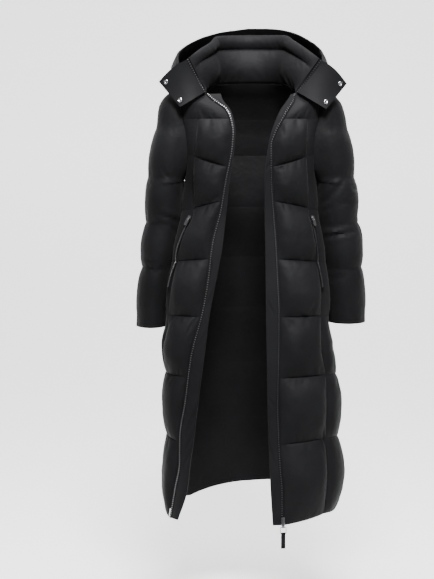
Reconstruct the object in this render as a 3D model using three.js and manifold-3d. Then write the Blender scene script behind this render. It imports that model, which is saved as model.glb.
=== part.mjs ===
// Long puffer coat, worn open with the hood thrown back.
// Millimetres, +Z up, the front faces -Y and the wearer's left is +X.
// The origin is in the middle of the neck opening, where the wearer's shoulders hold the coat.
import * as THREE from "three";
import { mergeVertices } from "three/addons/utils/BufferGeometryUtils.js";
import loadManifold from "manifold-3d";

// Cloth and filling
const CLOTH = 3;
const FLAT_CLOTH = 3;
const SEAM_GAP = 0.15;
const FRONT_PUFF = 21;
const BACK_PUFF = 20;
const SIDE_PUFF = 15;
const PRESSED_PUFF = 3;
const YOKE_PUFF = 9;
const SLEEVE_PUFF = 8;
const COLLAR_PUFF = 17;
const COLLAR_RIM_PUFF = 10.2;
const HOOD_PUFF = 9;

// Body, measured over the cloth at the quilt seams: half widths to each side, depths to the front
// and back, and how far the widest line lies from the middle
const RING_POWER = 2.4;
const RINGS = [
  { z: -1125, right: 222, left: 224, front: 140, back: 146, mid: 0 },
  { z: -1000, right: 218, left: 238, front: 141, back: 148, mid: -8 },
  { z: -905, right: 217, left: 231, front: 140, back: 146, mid: -16 },
  { z: -740, right: 218, left: 224, front: 135, back: 142, mid: -32 },
  { z: -655, right: 216, left: 201, front: 130, back: 138, mid: -42 },
  { z: -575, right: 213, left: 202, front: 125, back: 134, mid: -42 },
  { z: -430, right: 195, left: 190, front: 112, back: 124, mid: -28 },
  { z: -305, right: 171, left: 171, front: 102, back: 106, mid: -14 },
  { z: -240, right: 169, left: 170, front: 104, back: 110, mid: 0 },
  { z: -165, right: 181, left: 182, front: 108, back: 116, mid: 0 },
  { z: -120, right: 187, left: 188, front: 106, back: 116, mid: 0 },
  { z: -78, right: 190, left: 191, front: 99, back: 110, mid: 0 },
  { z: -50, right: 186, left: 187, front: 90, back: 101, mid: 0 },
  { z: -20, right: 168, left: 168, front: 75, back: 85, mid: 0 },
  { z: -5, right: 126, left: 126, front: 63, back: 71, mid: 0 },
  { z: 8, right: 97, left: 97, front: 54, back: 62, mid: 0 },
  { z: 24, right: 84, left: 84, front: 46, back: 55, mid: 0 },
];

// Quilt seams of the body: their height at the zip, princess seam, side seam and centre back
const SEAMS = [
  { zip: -78, princess: -78, side: -78, back: -78 },
  { zip: -198, princess: -172, side: -165, back: -172 },
  { zip: -285, princess: -305, side: -312, back: -308 },
  { zip: -431, princess: -440, side: -445, back: -442 },
  { zip: -577, princess: -577, side: -582, back: -580 },
  { zip: -732, princess: -728, side: -736, back: -732 },
  { zip: -902, princess: -892, side: -902, back: -890 },
  { zip: -1112, princess: -1094, side: -1100, back: -1062 },
];

// Where the two zip halves and the free edges of the wind guards hang, from the middle of the coat
const ZIP_LINES = [
  { z: -15, right: 115, left: 116 },
  { z: -31, right: 98, left: 112 },
  { z: -56, right: 65, left: 97 },
  { z: -80, right: 55, left: 83 },
  { z: -110, right: 50, left: 67 },
  { z: -145, right: 52, left: 56 },
  { z: -233, right: 68, left: 57 },
  { z: -306, right: 80, left: 62 },
  { z: -396, right: 102, left: 69 },
  { z: -480, right: 112, left: 73 },
  { z: -566, right: 127, left: 77 },
  { z: -675, right: 155, left: 76 },
  { z: -796, right: 171, left: 74 },
  { z: -891, right: 185, left: 77 },
  { z: -960, right: 186, left: 81 },
  { z: -1023, right: 197, left: 86 },
  { z: -1112, right: 211, left: 87 },
];
const GUARD_EDGES = [
  { z: 5, right: 84, left: 112 },
  { z: -15, right: 76, left: 102 },
  { z: -31, right: 70, left: 92 },
  { z: -56, right: 51, left: 74 },
  { z: -80, right: 43, left: 63 },
  { z: -110, right: 39, left: 52 },
  { z: -145, right: 41, left: 44 },
  { z: -233, right: 53, left: 35 },
  { z: -306, right: 61, left: 35 },
  { z: -396, right: 71, left: 37 },
  { z: -480, right: 86, left: 38 },
  { z: -566, right: 103, left: 39 },
  { z: -675, right: 117, left: 41 },
  { z: -796, right: 133, left: 43 },
  { z: -891, right: 144, left: 46 },
  { z: -960, right: 154, left: 49 },
  { z: -1023, right: 161, left: 52 },
  { z: -1112, right: 188, left: 58 },
];

// Angles round the body from the centre front, in degrees, of the princess and side seams.
// The wearer's right front has swung open, so its seams lie further round.
const PRINCESS_SEAM = [
  { z: -78, right: 40, left: 45 },
  { z: -150, right: 46, left: 46 },
  { z: -231, right: 54, left: 54 },
  { z: -305, right: 54, left: 57 },
  { z: -375, right: 63, left: 59 },
  { z: -430, right: 70, left: 60 },
  { z: -500, right: 73, left: 61 },
  { z: -577, right: 76, left: 60 },
  { z: -670, right: 82, left: 60 },
  { z: -730, right: 84, left: 57 },
  { z: -863, right: 91, left: 55 },
  { z: -1000, right: 97, left: 53 },
  { z: -1115, right: 104, left: 54 },
];
const SIDE_SEAM = [
  { z: -238.5, right: 92, left: 92 },
  { z: -312, right: 94, left: 93 },
  { z: -445, right: 105, left: 97 },
  { z: -582, right: 112, left: 98 },
  { z: -736, right: 120, left: 96 },
  { z: -902, right: 128, left: 95 },
  { z: -1115, right: 138, left: 95 },
];

// Armholes: an oval on the side of the body
const SHOULDER_ANGLE = 92;
const ARMHOLE = { top: -20, bottom: -238.5, halfAngle: 34, inset: 0.6, underarmInset: 2.2, topOut: 1.2 };
const ARMHOLE_MIDDLE = (ARMHOLE.top + ARMHOLE.bottom) / 2;
const ARMHOLE_HALF = (ARMHOLE.top - ARMHOLE.bottom) / 2;
const NECK = { corner: -15, shoulder: 8, back: 16 };

// Sleeve rows: height and reach of the outer side, the section's middle and half depth, its inner
// side, and for rows of the cap the place round the armhole where they end, in degrees from its top
const SLEEVE_ROWS = [
  { z: -17, right: 205, left: 207, midRight: 166, midLeft: 166, y: 0, depth: 46, hole: 38, seam: 0.45 },
  { z: -46, right: 228, left: 232, midRight: 174, midLeft: 174, y: 0, depth: 55, hole: 57, seam: 0.75 },
  { z: -98, right: 240, left: 249, midRight: 186, midLeft: 188, y: 0, depth: 60, hole: 73.5, seam: 1 },
  { z: -122, right: 245, left: 253, midRight: 192, midLeft: 194, y: 0, depth: 64, hole: 86.3, seam: 1.18 },
  { z: -162, right: 252, left: 261, midRight: 200, midLeft: 203, y: 1, depth: 65, hole: 107.5, seam: 1.5 },
  { z: -203, right: 259, left: 266, midRight: 208, midLeft: 212, y: 2, depth: 65, hole: 132.5, seam: 1.82 },
  { z: -226, right: 263, left: 269, midRight: 212, midLeft: 216, y: 3, depth: 64, hole: 153, seam: 2 },
  { z: -246, right: 264, left: 272, midRight: 217, midLeft: 222, y: 4, depth: 64, hole: 180, seam: 2.18 },
];
const SLEEVE_RINGS = [
  { z: -285, right: 265, left: 275, innerRight: 175, innerLeft: 175, y: 6, depth: 63, seam: 2.5 },
  { z: -324, right: 267, left: 277, innerRight: 175, innerLeft: 175, y: 9, depth: 62, seam: 2.82 },
  { z: -344, right: 270, left: 282, innerRight: 178, innerLeft: 177, y: 11, depth: 61, seam: 3 },
  { z: -366, right: 273, left: 287, innerRight: 184, innerLeft: 181, y: 12, depth: 61, seam: 3.18 },
  { z: -402, right: 277, left: 289, innerRight: 192, innerLeft: 188, y: 14, depth: 61, seam: 3.5 },
  { z: -440, right: 280, left: 292, innerRight: 199, innerLeft: 194, y: 16, depth: 60, seam: 3.82 },
  { z: -460, right: 281, left: 293, innerRight: 203, innerLeft: 197, y: 18, depth: 60, seam: 4 },
  { z: -484, right: 285, left: 295, innerRight: 207, innerLeft: 199, y: 20, depth: 60, seam: 4.18 },
  { z: -530, right: 289, left: 298, innerRight: 212, innerLeft: 202, y: 24, depth: 59, seam: 4.5 },
  { z: -578, right: 292, left: 301, innerRight: 217, innerLeft: 205, y: 28, depth: 58, seam: 4.82 },
  { z: -606, right: 293, left: 301, innerRight: 219, innerLeft: 207, y: 31, depth: 57, seam: 5 },
];
const SLEEVE_COLUMNS = 16;

// The last baffle stays full down to the cuff, and the wearer's right cuff hangs lower
const CUFF = { seam: 5, full: 0.75, from: 4.5, to: 4.82, start: 4, rightDrop: 11 };
const sleeveBaffle = (seam) => Math.max(baffle(seam % 1), CUFF.full * ramp(seam, CUFF.from, CUFF.to));
const sleeveDrop = (side, seam) => (side < 0 ? CUFF.rightDrop * ramp(seam, CUFF.start, CUFF.seam) : 0);

// Stand collar: its top edge, from the wearer's right front corner round the back to the left one
const COLLAR_TOP = [
  { t: 0, x: -157, y: -62, z: 74 },
  { t: 0.1, x: -131, y: -38, z: 97 },
  { t: 0.2, x: -104, y: 0, z: 117 },
  { t: 0.32, x: -84, y: 42, z: 137 },
  { t: 0.5, x: 0, y: 82, z: 142 },
  { t: 0.68, x: 90, y: 42, z: 139 },
  { t: 0.8, x: 115, y: 0, z: 121 },
  { t: 0.9, x: 142, y: -38, z: 99 },
  { t: 1, x: 175, y: -60, z: 72 },
];
const COLLAR_SEAM = 0.7;
const ZIP_WIDTH = 7;
const ZIP_RISE = 1.5;
const COLLAR_ZIP = { gap: 0.4, outside: 0.8, inside: 2.2, foot: 0.3 };

// Hood, thrown back: sections by their angle from the centre front, each with its distance from
// the neck's axis and its height at the lowest stretch, at the outermost stretch and at the rim
const HOOD_START = 54;
const HOOD_SECTIONS = [
  { at: 54, turn: 74, floorR: 148, floorZ: 8, outR: 181, outZ: 30, rimR: 188, rimZ: 64 },
  { at: 92, turn: 94, floorR: 146, floorZ: 16, outR: 190, outZ: 42, rimR: 180, rimZ: 96 },
  { at: 120, turn: 120, floorR: 146, floorZ: 8, outR: 208, outZ: 26, rimR: 151, rimZ: 131 },
  { at: 150, turn: 150, floorR: 150, floorZ: -36, outR: 232, outZ: -2, rimR: 144, rimZ: 152 },
  { at: 180, turn: 180, floorR: 158, floorZ: -62, outR: 244, outZ: -16, rimR: 150, rimZ: 165 },
];
const HOOD_LEFT_LIFT = { middle: 132, half: 46, height: 10 };
const HOOD_SIDE_COLUMNS = 8;
const HOOD_BACK_COLUMNS = 14;
const HOOD_SPLIT = 0.34;

// Flaps at the neck: outer corners of the wearer's right one, and what the left one differs by
const FLAP = {
  lower: { x: -177, y: -82, z: -50 },
  outer: { x: -231, y: -40, z: 16 },
  leftShift: { x: 12, y: 0, z: -5 },
  start: 0.07,
  clear: 1,
  rise: 7,
  swell: 5,
};

// Snap, a domed ring with a sunken centre: its outline by radius and height over the flap
const SNAP_OUTLINE = [
  { radius: 0, height: 0 },
  { radius: 5.2, height: 0 },
  { radius: 6, height: 0.8 },
  { radius: 4.8, height: 2.4 },
  { radius: 2.2, height: 1.9 },
  { radius: 1.8, height: 1.1 },
  { radius: 0, height: 1.1 },
];
const SNAP_GAP = 0.3;

// Pockets in the princess seams
const POCKET = { top: -322, bottom: -506, width: 9, thickness: 2, lift: 0.9, right: 0.5, left: 0.42 };

// Zip sliders, their bridges and pulls
const SLIDER = { width: 9, length: 15, corner: 2.5, thickness: 3.4, gap: 0.3 };
const BRIDGE = { width: 2.4, bar: 1.3, span: 8, clear: 3.2, sunk: 0.4 };
const PULL = { thickness: 1.6, eyeWidth: 8, bar: 1.8, eyeLength: 7, tabWidth: 9, tabLength: 20, cut: 2 };
const LINK = { width: 7, length: 15, tubeWidth: 7, tubeRadius: 2.4, boreRadius: 1.6 };
const RING = { width: 17, length: 18, wire: 2, corner: 3, innerCorner: 2 };
const RIBBON = { width: 11, length: 40, half: 0.8, eyeRadius: 2.3, boreRadius: 1.6 };
const MAIN_SLIDER_Z = -1098;
const RETAINER = { width: 10, length: 6, corner: 1.5, thickness: 2.4, z: -1109.4 };
const PIN = { width: 3.2, length: 26, corner: 1.2, thickness: 2, z: -1098 };
const POCKET_SLIDER_AT = 0.05;

const COLOURS = { shell: 0x232427, lining: 0x2b2c30, tape: 0x1c1d1f, metal: 0xb9bbc0, ribbon: 0x202225 };

// A column of a table at a value of its key, drawn smoothly through the rows
function along(rows, key, column, value) {
  const rising = rows[rows.length - 1][key] > rows[0][key];
  const sorted = rising ? rows : rows.slice().reverse();
  const last = sorted.length - 1;
  const at = Math.min(Math.max(value, sorted[0][key]), sorted[last][key]);
  let i = 0;
  while (i < last - 1 && sorted[i + 1][key] < at) i += 1;
  const slope = (k) => {
    if (k <= 0 || k >= last) return 0;
    const before = (sorted[k][column] - sorted[k - 1][column]) / (sorted[k][key] - sorted[k - 1][key]);
    const after = (sorted[k + 1][column] - sorted[k][column]) / (sorted[k + 1][key] - sorted[k][key]);
    return before * after <= 0 ? 0 : (2 * before * after) / (before + after);
  };
  const width = sorted[i + 1][key] - sorted[i][key];
  const w = (at - sorted[i][key]) / width;
  const a = sorted[i][column];
  const b = sorted[i + 1][column];
  const startSlope = i === 0 ? (b - a) / width : slope(i);
  const endSlope = i + 1 === last ? (b - a) / width : slope(i + 1);
  const w2 = w * w;
  const w3 = w2 * w;
  return a * (2 * w3 - 3 * w2 + 1) + b * (3 * w2 - 2 * w3)
    + width * (startSlope * (w3 - 2 * w2 + w) + endSlope * (w3 - w2));
}

const lerp = (a, b, w) => a + (b - a) * w;
const ramp = (value, from, to) => Math.min(1, Math.max(0, (value - from) / (to - from)));
const radians = (degrees) => (degrees * Math.PI) / 180;
const sideKey = (side) => (side < 0 ? "right" : "left");

// The body's surface, by angle round it and height
function bodyPoint(angle, z) {
  const s = Math.sin(radians(angle));
  const c = Math.cos(radians(angle));
  const half = along(RINGS, "z", s < 0 ? "right" : "left", z);
  const mid = along(RINGS, "z", "mid", z);
  const front = along(RINGS, "z", "front", z);
  const back = along(RINGS, "z", "back", z);
  const reach = c > 0 ? -(front + mid) : back - mid;
  const power = 2 / RING_POWER;
  return new THREE.Vector3(
    Math.sign(s) * half * Math.abs(s) ** power,
    mid + reach * Math.abs(c) ** power,
    z,
  );
}

function bodyNormal(angle, z) {
  const round = bodyPoint(angle + 1, z).sub(bodyPoint(angle - 1, z));
  const up = bodyPoint(angle, z + 3).sub(bodyPoint(angle, z - 3));
  return round.cross(up).normalize();
}

function angleAtX(side, x, z) {
  const half = along(RINGS, "z", sideKey(side), z);
  return (Math.asin(Math.min(1, (x / half) ** (RING_POWER / 2))) * 180) / Math.PI;
}

const zipX = (side, z) => along(ZIP_LINES, "z", sideKey(side), z);
const guardX = (side, z) => along(GUARD_EDGES, "z", sideKey(side), z);
const zipAngle = (side, z) => angleAtX(side, zipX(side, z), z);
const princessAngle = (side, z) => along(PRINCESS_SEAM, "z", sideKey(side), z);

function armholeSpread(z) {
  const off = (z - ARMHOLE_MIDDLE) / ARMHOLE_HALF;
  return ARMHOLE.halfAngle * Math.sqrt(Math.max(0, 1 - off * off));
}

// The outer edge of the fronts (way = -1) and of the back (way = 1): shoulder, armhole, side seam
function outerAngle(side, z, way) {
  if (z >= ARMHOLE.top) return SHOULDER_ANGLE;
  if (z > ARMHOLE.bottom) return SHOULDER_ANGLE + way * armholeSpread(z);
  return along(SIDE_SEAM, "z", sideKey(side), z);
}

// Closed walls from an outer and an inner grid of points
function wallGeometry(outer, inner, openRows = outer.length) {
  const rows = outer.length;
  const columns = outer[0].length;
  const position = [];
  const index = [];
  const place = (grid) => grid.map((row) => row.map((p) => position.push(p.x, p.y, p.z) / 3 - 1));
  const a = place(outer);
  const b = place(inner);
  const quad = (p, q, r, s) => index.push(p, q, r, p, r, s);
  for (let i = 0; i + 1 < rows; i += 1) {
    for (let j = 0; j + 1 < columns; j += 1) {
      quad(a[i][j], a[i][j + 1], a[i + 1][j + 1], a[i + 1][j]);
      quad(b[i][j], b[i + 1][j], b[i + 1][j + 1], b[i][j + 1]);
    }
  }
  for (let j = 0; j + 1 < columns; j += 1) {
    quad(a[0][j], b[0][j], b[0][j + 1], a[0][j + 1]);
    quad(a[rows - 1][j], a[rows - 1][j + 1], b[rows - 1][j + 1], b[rows - 1][j]);
  }
  for (let i = 0; i + 1 < Math.min(rows, openRows + 1); i += 1) {
    quad(a[i][0], a[i + 1][0], b[i + 1][0], b[i][0]);
    quad(a[i][columns - 1], b[i][columns - 1], b[i + 1][columns - 1], a[i + 1][columns - 1]);
  }
  const geometry = new THREE.BufferGeometry();
  geometry.setAttribute("position", new THREE.Float32BufferAttribute(position, 3));
  geometry.setIndex(volume(position, index) < 0 ? index.reverse() : index);
  geometry.computeVertexNormals();
  return geometry;
}

function volume(position, index) {
  const at = (i) => new THREE.Vector3(position[3 * i], position[3 * i + 1], position[3 * i + 2]);
  let sum = 0;
  for (let i = 0; i < index.length; i += 3) {
    sum += at(index[i]).dot(at(index[i + 1]).cross(at(index[i + 2])));
  }
  return sum;
}

// Draws the edges of a grid in by the seam gap
function drawIn(grid) {
  const step = (p, q) => q.clone().sub(p).setLength(SEAM_GAP);
  const rows = grid.length;
  const columns = grid[0].length;
  const moved = grid.map((row) => row.map((p) => p.clone()));
  for (let i = 0; i < rows; i += 1) {
    moved[i][0].add(step(grid[i][0], grid[i][1]));
    moved[i][columns - 1].add(step(grid[i][columns - 1], grid[i][columns - 2]));
  }
  for (let j = 0; j < columns; j += 1) {
    moved[0][j].add(step(grid[0][j], grid[1][j]));
    moved[rows - 1][j].add(step(grid[rows - 1][j], grid[rows - 2][j]));
  }
  return moved;
}

function offset(grid, normals, height) {
  return grid.map((row, i) => row.map((p, j) => p.clone().addScaledVector(normals[i][j], height(i, j))));
}

// Normals of a free grid, on the side that the sign picks
function gridNormals(grid, sign, closedFrom = grid.length) {
  const rows = grid.length;
  const last = grid[0].length - 1;
  return grid.map((row, i) => row.map((p, j) => {
    const closed = i >= closedFrom;
    const before = j === 0 ? row[closed ? last - 1 : 0] : row[j - 1];
    const after = j === last ? row[closed ? 1 : last] : row[j + 1];
    const lower = grid[Math.max(0, i - 1)];
    const joined = closed && (j === 0 || j === last);
    const below = joined ? lower[0].clone().lerp(lower[last], 0.5) : lower[j];
    const above = grid[Math.min(rows - 1, i + 1)][j];
    return after.clone().sub(before).cross(above.clone().sub(below)).normalize().multiplyScalar(sign);
  }));
}

// Rise of the filling between two seams, and across a panel from edge to edge
const BAFFLE_STEPS = [0, 0.18, 0.5, 0.82];
const baffle = (w) => Math.max(0, Math.sin(Math.PI * w)) ** 0.65;
const across = (u, edge) => 1 - (1 - edge) * Math.abs(2 * u - 1) ** 4;
const PANEL_EDGE = 0.12;

// Rows of a quilted panel: seam number with the fraction of the baffle below it.
// The baffle that meets the bottom of the armholes has more of them.
const UNDERARM_SEAM = 1;
const UNDERARM_STEPS = [0, 0.1, 0.2, 0.3, 0.4, 0.455, 0.487, 0.5, 0.82];
function panelRows() {
  const rows = [];
  for (let seam = 0; seam + 1 < SEAMS.length; seam += 1) {
    (seam === UNDERARM_SEAM ? UNDERARM_STEPS : BAFFLE_STEPS).forEach((w) => rows.push({ seam, w }));
  }
  rows.push({ seam: SEAMS.length - 2, w: 1 });
  return rows;
}
const PANEL_ROWS = panelRows();
const seamHeight = (row, line) => lerp(SEAMS[row.seam][line], SEAMS[row.seam + 1][line], row.w);

// A quilted panel of the body from its grid of places (angle, height)
function bodyPanel(places, rise) {
  const base = drawIn(places.map((row) => row.map(([angle, z]) => bodyPoint(angle, z))));
  const normals = places.map((row) => row.map(([angle, z]) => bodyNormal(angle, z)));
  return wallGeometry(offset(base, normals, rise), offset(base, normals, () => -CLOTH));
}

// How far arms press the sides flat: full beside the sleeves, free below the cuffs
const PRESSED = { last: -590, free: -650 };
const SIDE_TURN = { front: 58, side: 80 };
const sidePuff = (z) => lerp(PRESSED_PUFF, SIDE_PUFF, ramp(z, PRESSED.last, PRESSED.free));

function roundedPuff(full, angle, z) {
  const turned = ramp(Math.abs(angle), SIDE_TURN.front, SIDE_TURN.side);
  return lerp(full, Math.min(full, sidePuff(z)), turned);
}

const FRONT_COLUMNS = [0, 0.08, 0.28, 0.5, 0.72, 0.92, 1];
function frontPanel(side) {
  const places = PANEL_ROWS.map((row) => {
    const zipZ = seamHeight(row, "zip");
    const seamZ = seamHeight(row, "princess");
    return FRONT_COLUMNS.map((u) => [
      side * lerp(zipAngle(side, zipZ), princessAngle(side, seamZ), u), lerp(zipZ, seamZ, u)]);
  });
  return bodyPanel(places, (i, j) => roundedPuff(FRONT_PUFF, places[i][j][0], places[i][j][1])
    * baffle(PANEL_ROWS[i].w) * across(FRONT_COLUMNS[j], PANEL_EDGE));
}

const SIDE_COLUMNS = [0, 0.25, 0.5, 0.75, 1];
function sidePanel(side) {
  const places = PANEL_ROWS.map((row) => {
    const seamZ = seamHeight(row, "princess");
    const sideZ = seamHeight(row, "side");
    return SIDE_COLUMNS.map((u) => [
      side * lerp(princessAngle(side, seamZ), outerAngle(side, sideZ, -1), u), lerp(seamZ, sideZ, u)]);
  });
  return bodyPanel(places, (i, j) => sidePuff(places[i][j][1])
    * baffle(PANEL_ROWS[i].w) * across(SIDE_COLUMNS[j], 0));
}

const BACK_COLUMNS = [0, 0.04, 0.11, 0.19, 0.27, 0.35, 0.425, 0.5, 0.575, 0.65, 0.73, 0.81, 0.89, 0.96, 1];
function backPlace(u, rightAngle, leftAngle, sideZ, backZ) {
  return [-rightAngle - u * (360 - rightAngle - leftAngle), lerp(sideZ, backZ, Math.sin(Math.PI * u))];
}

const BACK_TURN = 0.7;
function backPuff(u, z) {
  const turned = ramp(Math.abs(2 * u - 1), BACK_TURN, 1);
  return lerp(BACK_PUFF, Math.min(BACK_PUFF, sidePuff(z)), turned);
}

// The back is cut in three, like the fronts: shares of its width, from the wearer's right
const BACK_PARTS = { right: [0, 0.27], centre: [0.27, 0.73], left: [0.73, 1] };
function backPanel([from, to]) {
  const columns = BACK_COLUMNS.filter((u) => u >= from && u <= to);
  const places = PANEL_ROWS.map((row) => {
    const sideZ = seamHeight(row, "side");
    const backZ = seamHeight(row, "back");
    return columns.map((u) => backPlace(
      u, outerAngle(-1, sideZ, 1), outerAngle(1, sideZ, 1), sideZ, backZ));
  });
  return bodyPanel(places, (i, j) => backPuff(columns[j], places[i][j][1])
    * baffle(PANEL_ROWS[i].w) * across(ramp(columns[j], from, to), 0) ** 2);
}

// Yokes: from the first quilt seam up over the shoulders to the neck
const YOKE_STEPS = [0, 0.12, 0.24, 0.36, 0.48, 0.6, 0.73, 0.86, 1];
const YOKE_ARMHOLE = 0.6;
const armholeTurn = (z) => (Math.acos(Math.max(-1, (z - ARMHOLE_MIDDLE) / ARMHOLE_HALF)) * 180) / Math.PI;
const yokeTurn = (v) => armholeTurn(SEAMS[0].side) * (1 - v / YOKE_ARMHOLE);
function yokeOuter(v, way) {
  const z = v < YOKE_ARMHOLE ? ARMHOLE_MIDDLE + ARMHOLE_HALF * Math.cos(radians(yokeTurn(v)))
    : lerp(ARMHOLE.top, NECK.shoulder, (v - YOKE_ARMHOLE) / (1 - YOKE_ARMHOLE));
  return [outerAngle(1, z, way), z];
}
const yokeRise = (v) => YOKE_PUFF * baffle(v) * (1 - v ** 3);

const YOKE_COLUMNS = [0, 0.12, 0.35, 0.6, 0.82, 0.93, 1];
function frontYoke(side) {
  const places = YOKE_STEPS.map((v) => {
    const innerZ = lerp(SEAMS[0].zip, NECK.corner, v);
    const [angle, outerZ] = yokeOuter(v, -1);
    return YOKE_COLUMNS.map((u) => [
      side * lerp(zipAngle(side, innerZ), angle, u), lerp(innerZ, outerZ, u)]);
  });
  return bodyPanel(places, (i, j) => yokeRise(YOKE_STEPS[i]) * across(YOKE_COLUMNS[j], 0) ** 2);
}

function backYoke() {
  const places = YOKE_STEPS.map((v) => {
    const [angle, sideZ] = yokeOuter(v, 1);
    const backZ = lerp(SEAMS[0].back, NECK.back, v);
    return BACK_COLUMNS.map((u) => backPlace(u, angle, angle, sideZ, backZ));
  });
  return bodyPanel(places, (i, j) => yokeRise(YOKE_STEPS[i]) * across(BACK_COLUMNS[j], 0));
}

// Zip halves and wind guards along both front edges
const EDGE_HEIGHTS = [
  ...YOKE_STEPS.slice(1).reverse().map((v) => lerp(SEAMS[0].zip, NECK.corner, v)),
  ...PANEL_ROWS.map((row) => seamHeight(row, "zip")),
];

function edgeStrip(side, from, to, columns, rise, thickness) {
  const places = EDGE_HEIGHTS.map((z) => {
    const start = angleAtX(side, from(side, z), z);
    const end = angleAtX(side, to(side, z), z);
    return Array.from({ length: columns + 1 }, (_, j) => [side * lerp(start, end, j / columns), z]);
  });
  const base = drawIn(places.map((row) => row.map(([angle, z]) => bodyPoint(angle, z))));
  const normals = places.map((row) => row.map(([angle, z]) => bodyNormal(angle, z)));
  return wallGeometry(offset(base, normals, () => rise), offset(base, normals, () => rise - thickness));
}

const zipInner = (side, z) => zipX(side, z) - ZIP_WIDTH;
const zipHalf = (side) => edgeStrip(side, zipInner, zipX, 1, ZIP_RISE, CLOTH);
const windGuard = (side) => edgeStrip(side, guardX, zipInner, 2, 0, FLAT_CLOTH);

// Armhole loop, drawn in a little so that the sleeve sits inside it
const armholeCentre = (side) => bodyPoint(side * SHOULDER_ANGLE, ARMHOLE_MIDDLE);
function armholePoint(side, turn) {
  const z = ARMHOLE_MIDDLE + ARMHOLE_HALF * Math.cos(radians(turn));
  const angle = SHOULDER_ANGLE + ARMHOLE.halfAngle * Math.sin(radians(turn));
  const point = bodyPoint(side * angle, z);
  const centre = armholeCentre(side);
  const lowest = ((1 - Math.cos(radians(turn))) / 2) ** 8;
  const inset = ARMHOLE.inset + ARMHOLE.underarmInset * lowest;
  const highest = ((1 + Math.cos(radians(turn))) / 2) ** 2;
  point.x += side * (ARMHOLE.underarmInset * lowest + ARMHOLE.topOut * highest);
  const inward = new THREE.Vector3(0, centre.y - point.y, centre.z - point.z).setLength(inset);
  return point.add(inward);
}

// Rows of the cap end on the armhole at the heights of the body's own rows, so that the seams meet
const CAP_ARC_STEP = 3;
const CAP_END = 0.75;
const CAP_TURNS = [
  ...YOKE_STEPS.slice(0, CAP_ARC_STEP).reverse().map(yokeTurn),
  ...PANEL_ROWS.map((row) => seamHeight(row, "side")).filter(
    (z) => z < SEAMS[0].side && z >= ARMHOLE.bottom).map(armholeTurn),
];
const rowTurns = (half) => Array.from(
  { length: SLEEVE_COLUMNS + 1 }, (_, j) => lerp(-half, half, j / SLEEVE_COLUMNS));

function capRow(side, hole) {
  const value = (column) => along(SLEEVE_ROWS, "hole", column, hole);
  const middle = value(side < 0 ? "midRight" : "midLeft");
  const reach = value(sideKey(side)) - middle;
  const [depth, midY, height] = [value("depth"), value("y"), value("z")];
  const end = armholePoint(side, hole);
  const endTurn = hole >= 180 ? 180 : (Math.atan2(
    Math.abs(end.y - midY) / depth, (Math.abs(end.x) - middle) / reach) * 180) / Math.PI;
  const drop = 1 - Math.cos(radians(endTurn));
  return rowTurns(endTurn).map((turn) => {
    const c = Math.cos(radians(turn));
    const finish = armholePoint(side, turn < 0 ? -hole : hole);
    const ideal = new THREE.Vector3(
      side * (middle + reach * Math.cos(radians(endTurn))),
      midY + Math.sign(turn) * depth * Math.sin(radians(endTurn)), height);
    const pull = finish.sub(ideal);
    const nearEnd = ramp(Math.abs(turn) / endTurn, CAP_END, 1) ** 2;
    return new THREE.Vector3(
      side * (middle + reach * c) + pull.x * nearEnd,
      midY + depth * Math.sin(radians(turn)) + pull.y * nearEnd,
      height + pull.z * ((1 - c) / drop) ** 1.5);
  });
}

function sleeveCap(side) {
  const top = rowTurns(yokeTurn(YOKE_STEPS[CAP_ARC_STEP])).map((turn) => armholePoint(side, turn));
  return [top, ...CAP_TURNS.map((hole) => capRow(side, hole))];
}

// The share of a sleeve's filling that stays free where the arm hangs against the side
const PRESSED_SHARE = 0.08;
function sleeve(side) {
  const rows = sleeveCap(side);
  const heights = [0, ...CAP_TURNS.map((hole) => along(SLEEVE_ROWS, "hole", "seam", hole))];
  SLEEVE_RINGS.forEach((ring) => {
    const outer = ring[sideKey(side)];
    const inner = side < 0 ? ring.innerRight : ring.innerLeft;
    rows.push(Array.from({ length: SLEEVE_COLUMNS + 1 }, (_, j) => {
      const turn = radians(lerp(-180, 180, j / SLEEVE_COLUMNS));
      return new THREE.Vector3(
        side * lerp(inner, outer, (1 + Math.cos(turn)) / 2),
        ring.y + ring.depth * Math.sin(turn), ring.z - sleeveDrop(side, ring.seam));
    }));
    heights.push(ring.seam);
  });
  const openRows = CAP_TURNS.length;
  const normals = gridNormals(rows, -side, openRows);
  const last = SLEEVE_COLUMNS;
  normals[0][0] = normals[0][1];
  normals[0][last] = normals[0][last - 1];
  const rise = (i, j) => {
    const open = i < openRows ? across(j / last, 0) : 1;
    const outward = (1 + Math.cos(radians(lerp(-180, 180, j / last)))) / 2;
    const facing = lerp(PRESSED_SHARE, 1, outward ** 0.6);
    return SLEEVE_PUFF * sleeveBaffle(heights[i]) * open * (i < openRows ? 1 : facing);
  };
  const inner = offset(rows, normals, () => -CLOTH);
  const turnIn = (i, j) => {
    const base = rows[i][j];
    const inward = armholeCentre(side).sub(base).setX(0).setLength(CLOTH);
    inner[i][j] = base.clone().add(inward);
  };
  rows[0].forEach((_, j) => turnIn(0, j));
  for (let i = 1; i < openRows; i += 1) [0, last].forEach((j) => turnIn(i, j));
  return wallGeometry(offset(rows, normals, rise), inner, openRows);
}

// Neck seam, from the wearer's right front corner (t = 0) round the back to the left one (t = 1)
function neckPlace(t) {
  if (t > 0.25 && t < 0.75) {
    return backPlace((t - 0.25) / 0.5, SHOULDER_ANGLE, SHOULDER_ANGLE, NECK.shoulder, NECK.back);
  }
  const side = t < 0.5 ? -1 : 1;
  const w = (side < 0 ? t : 1 - t) / 0.25;
  const corner = zipAngle(side, NECK.corner);
  return [side * lerp(corner, SHOULDER_ANGLE, w), lerp(NECK.corner, NECK.shoulder, w)];
}

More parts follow.
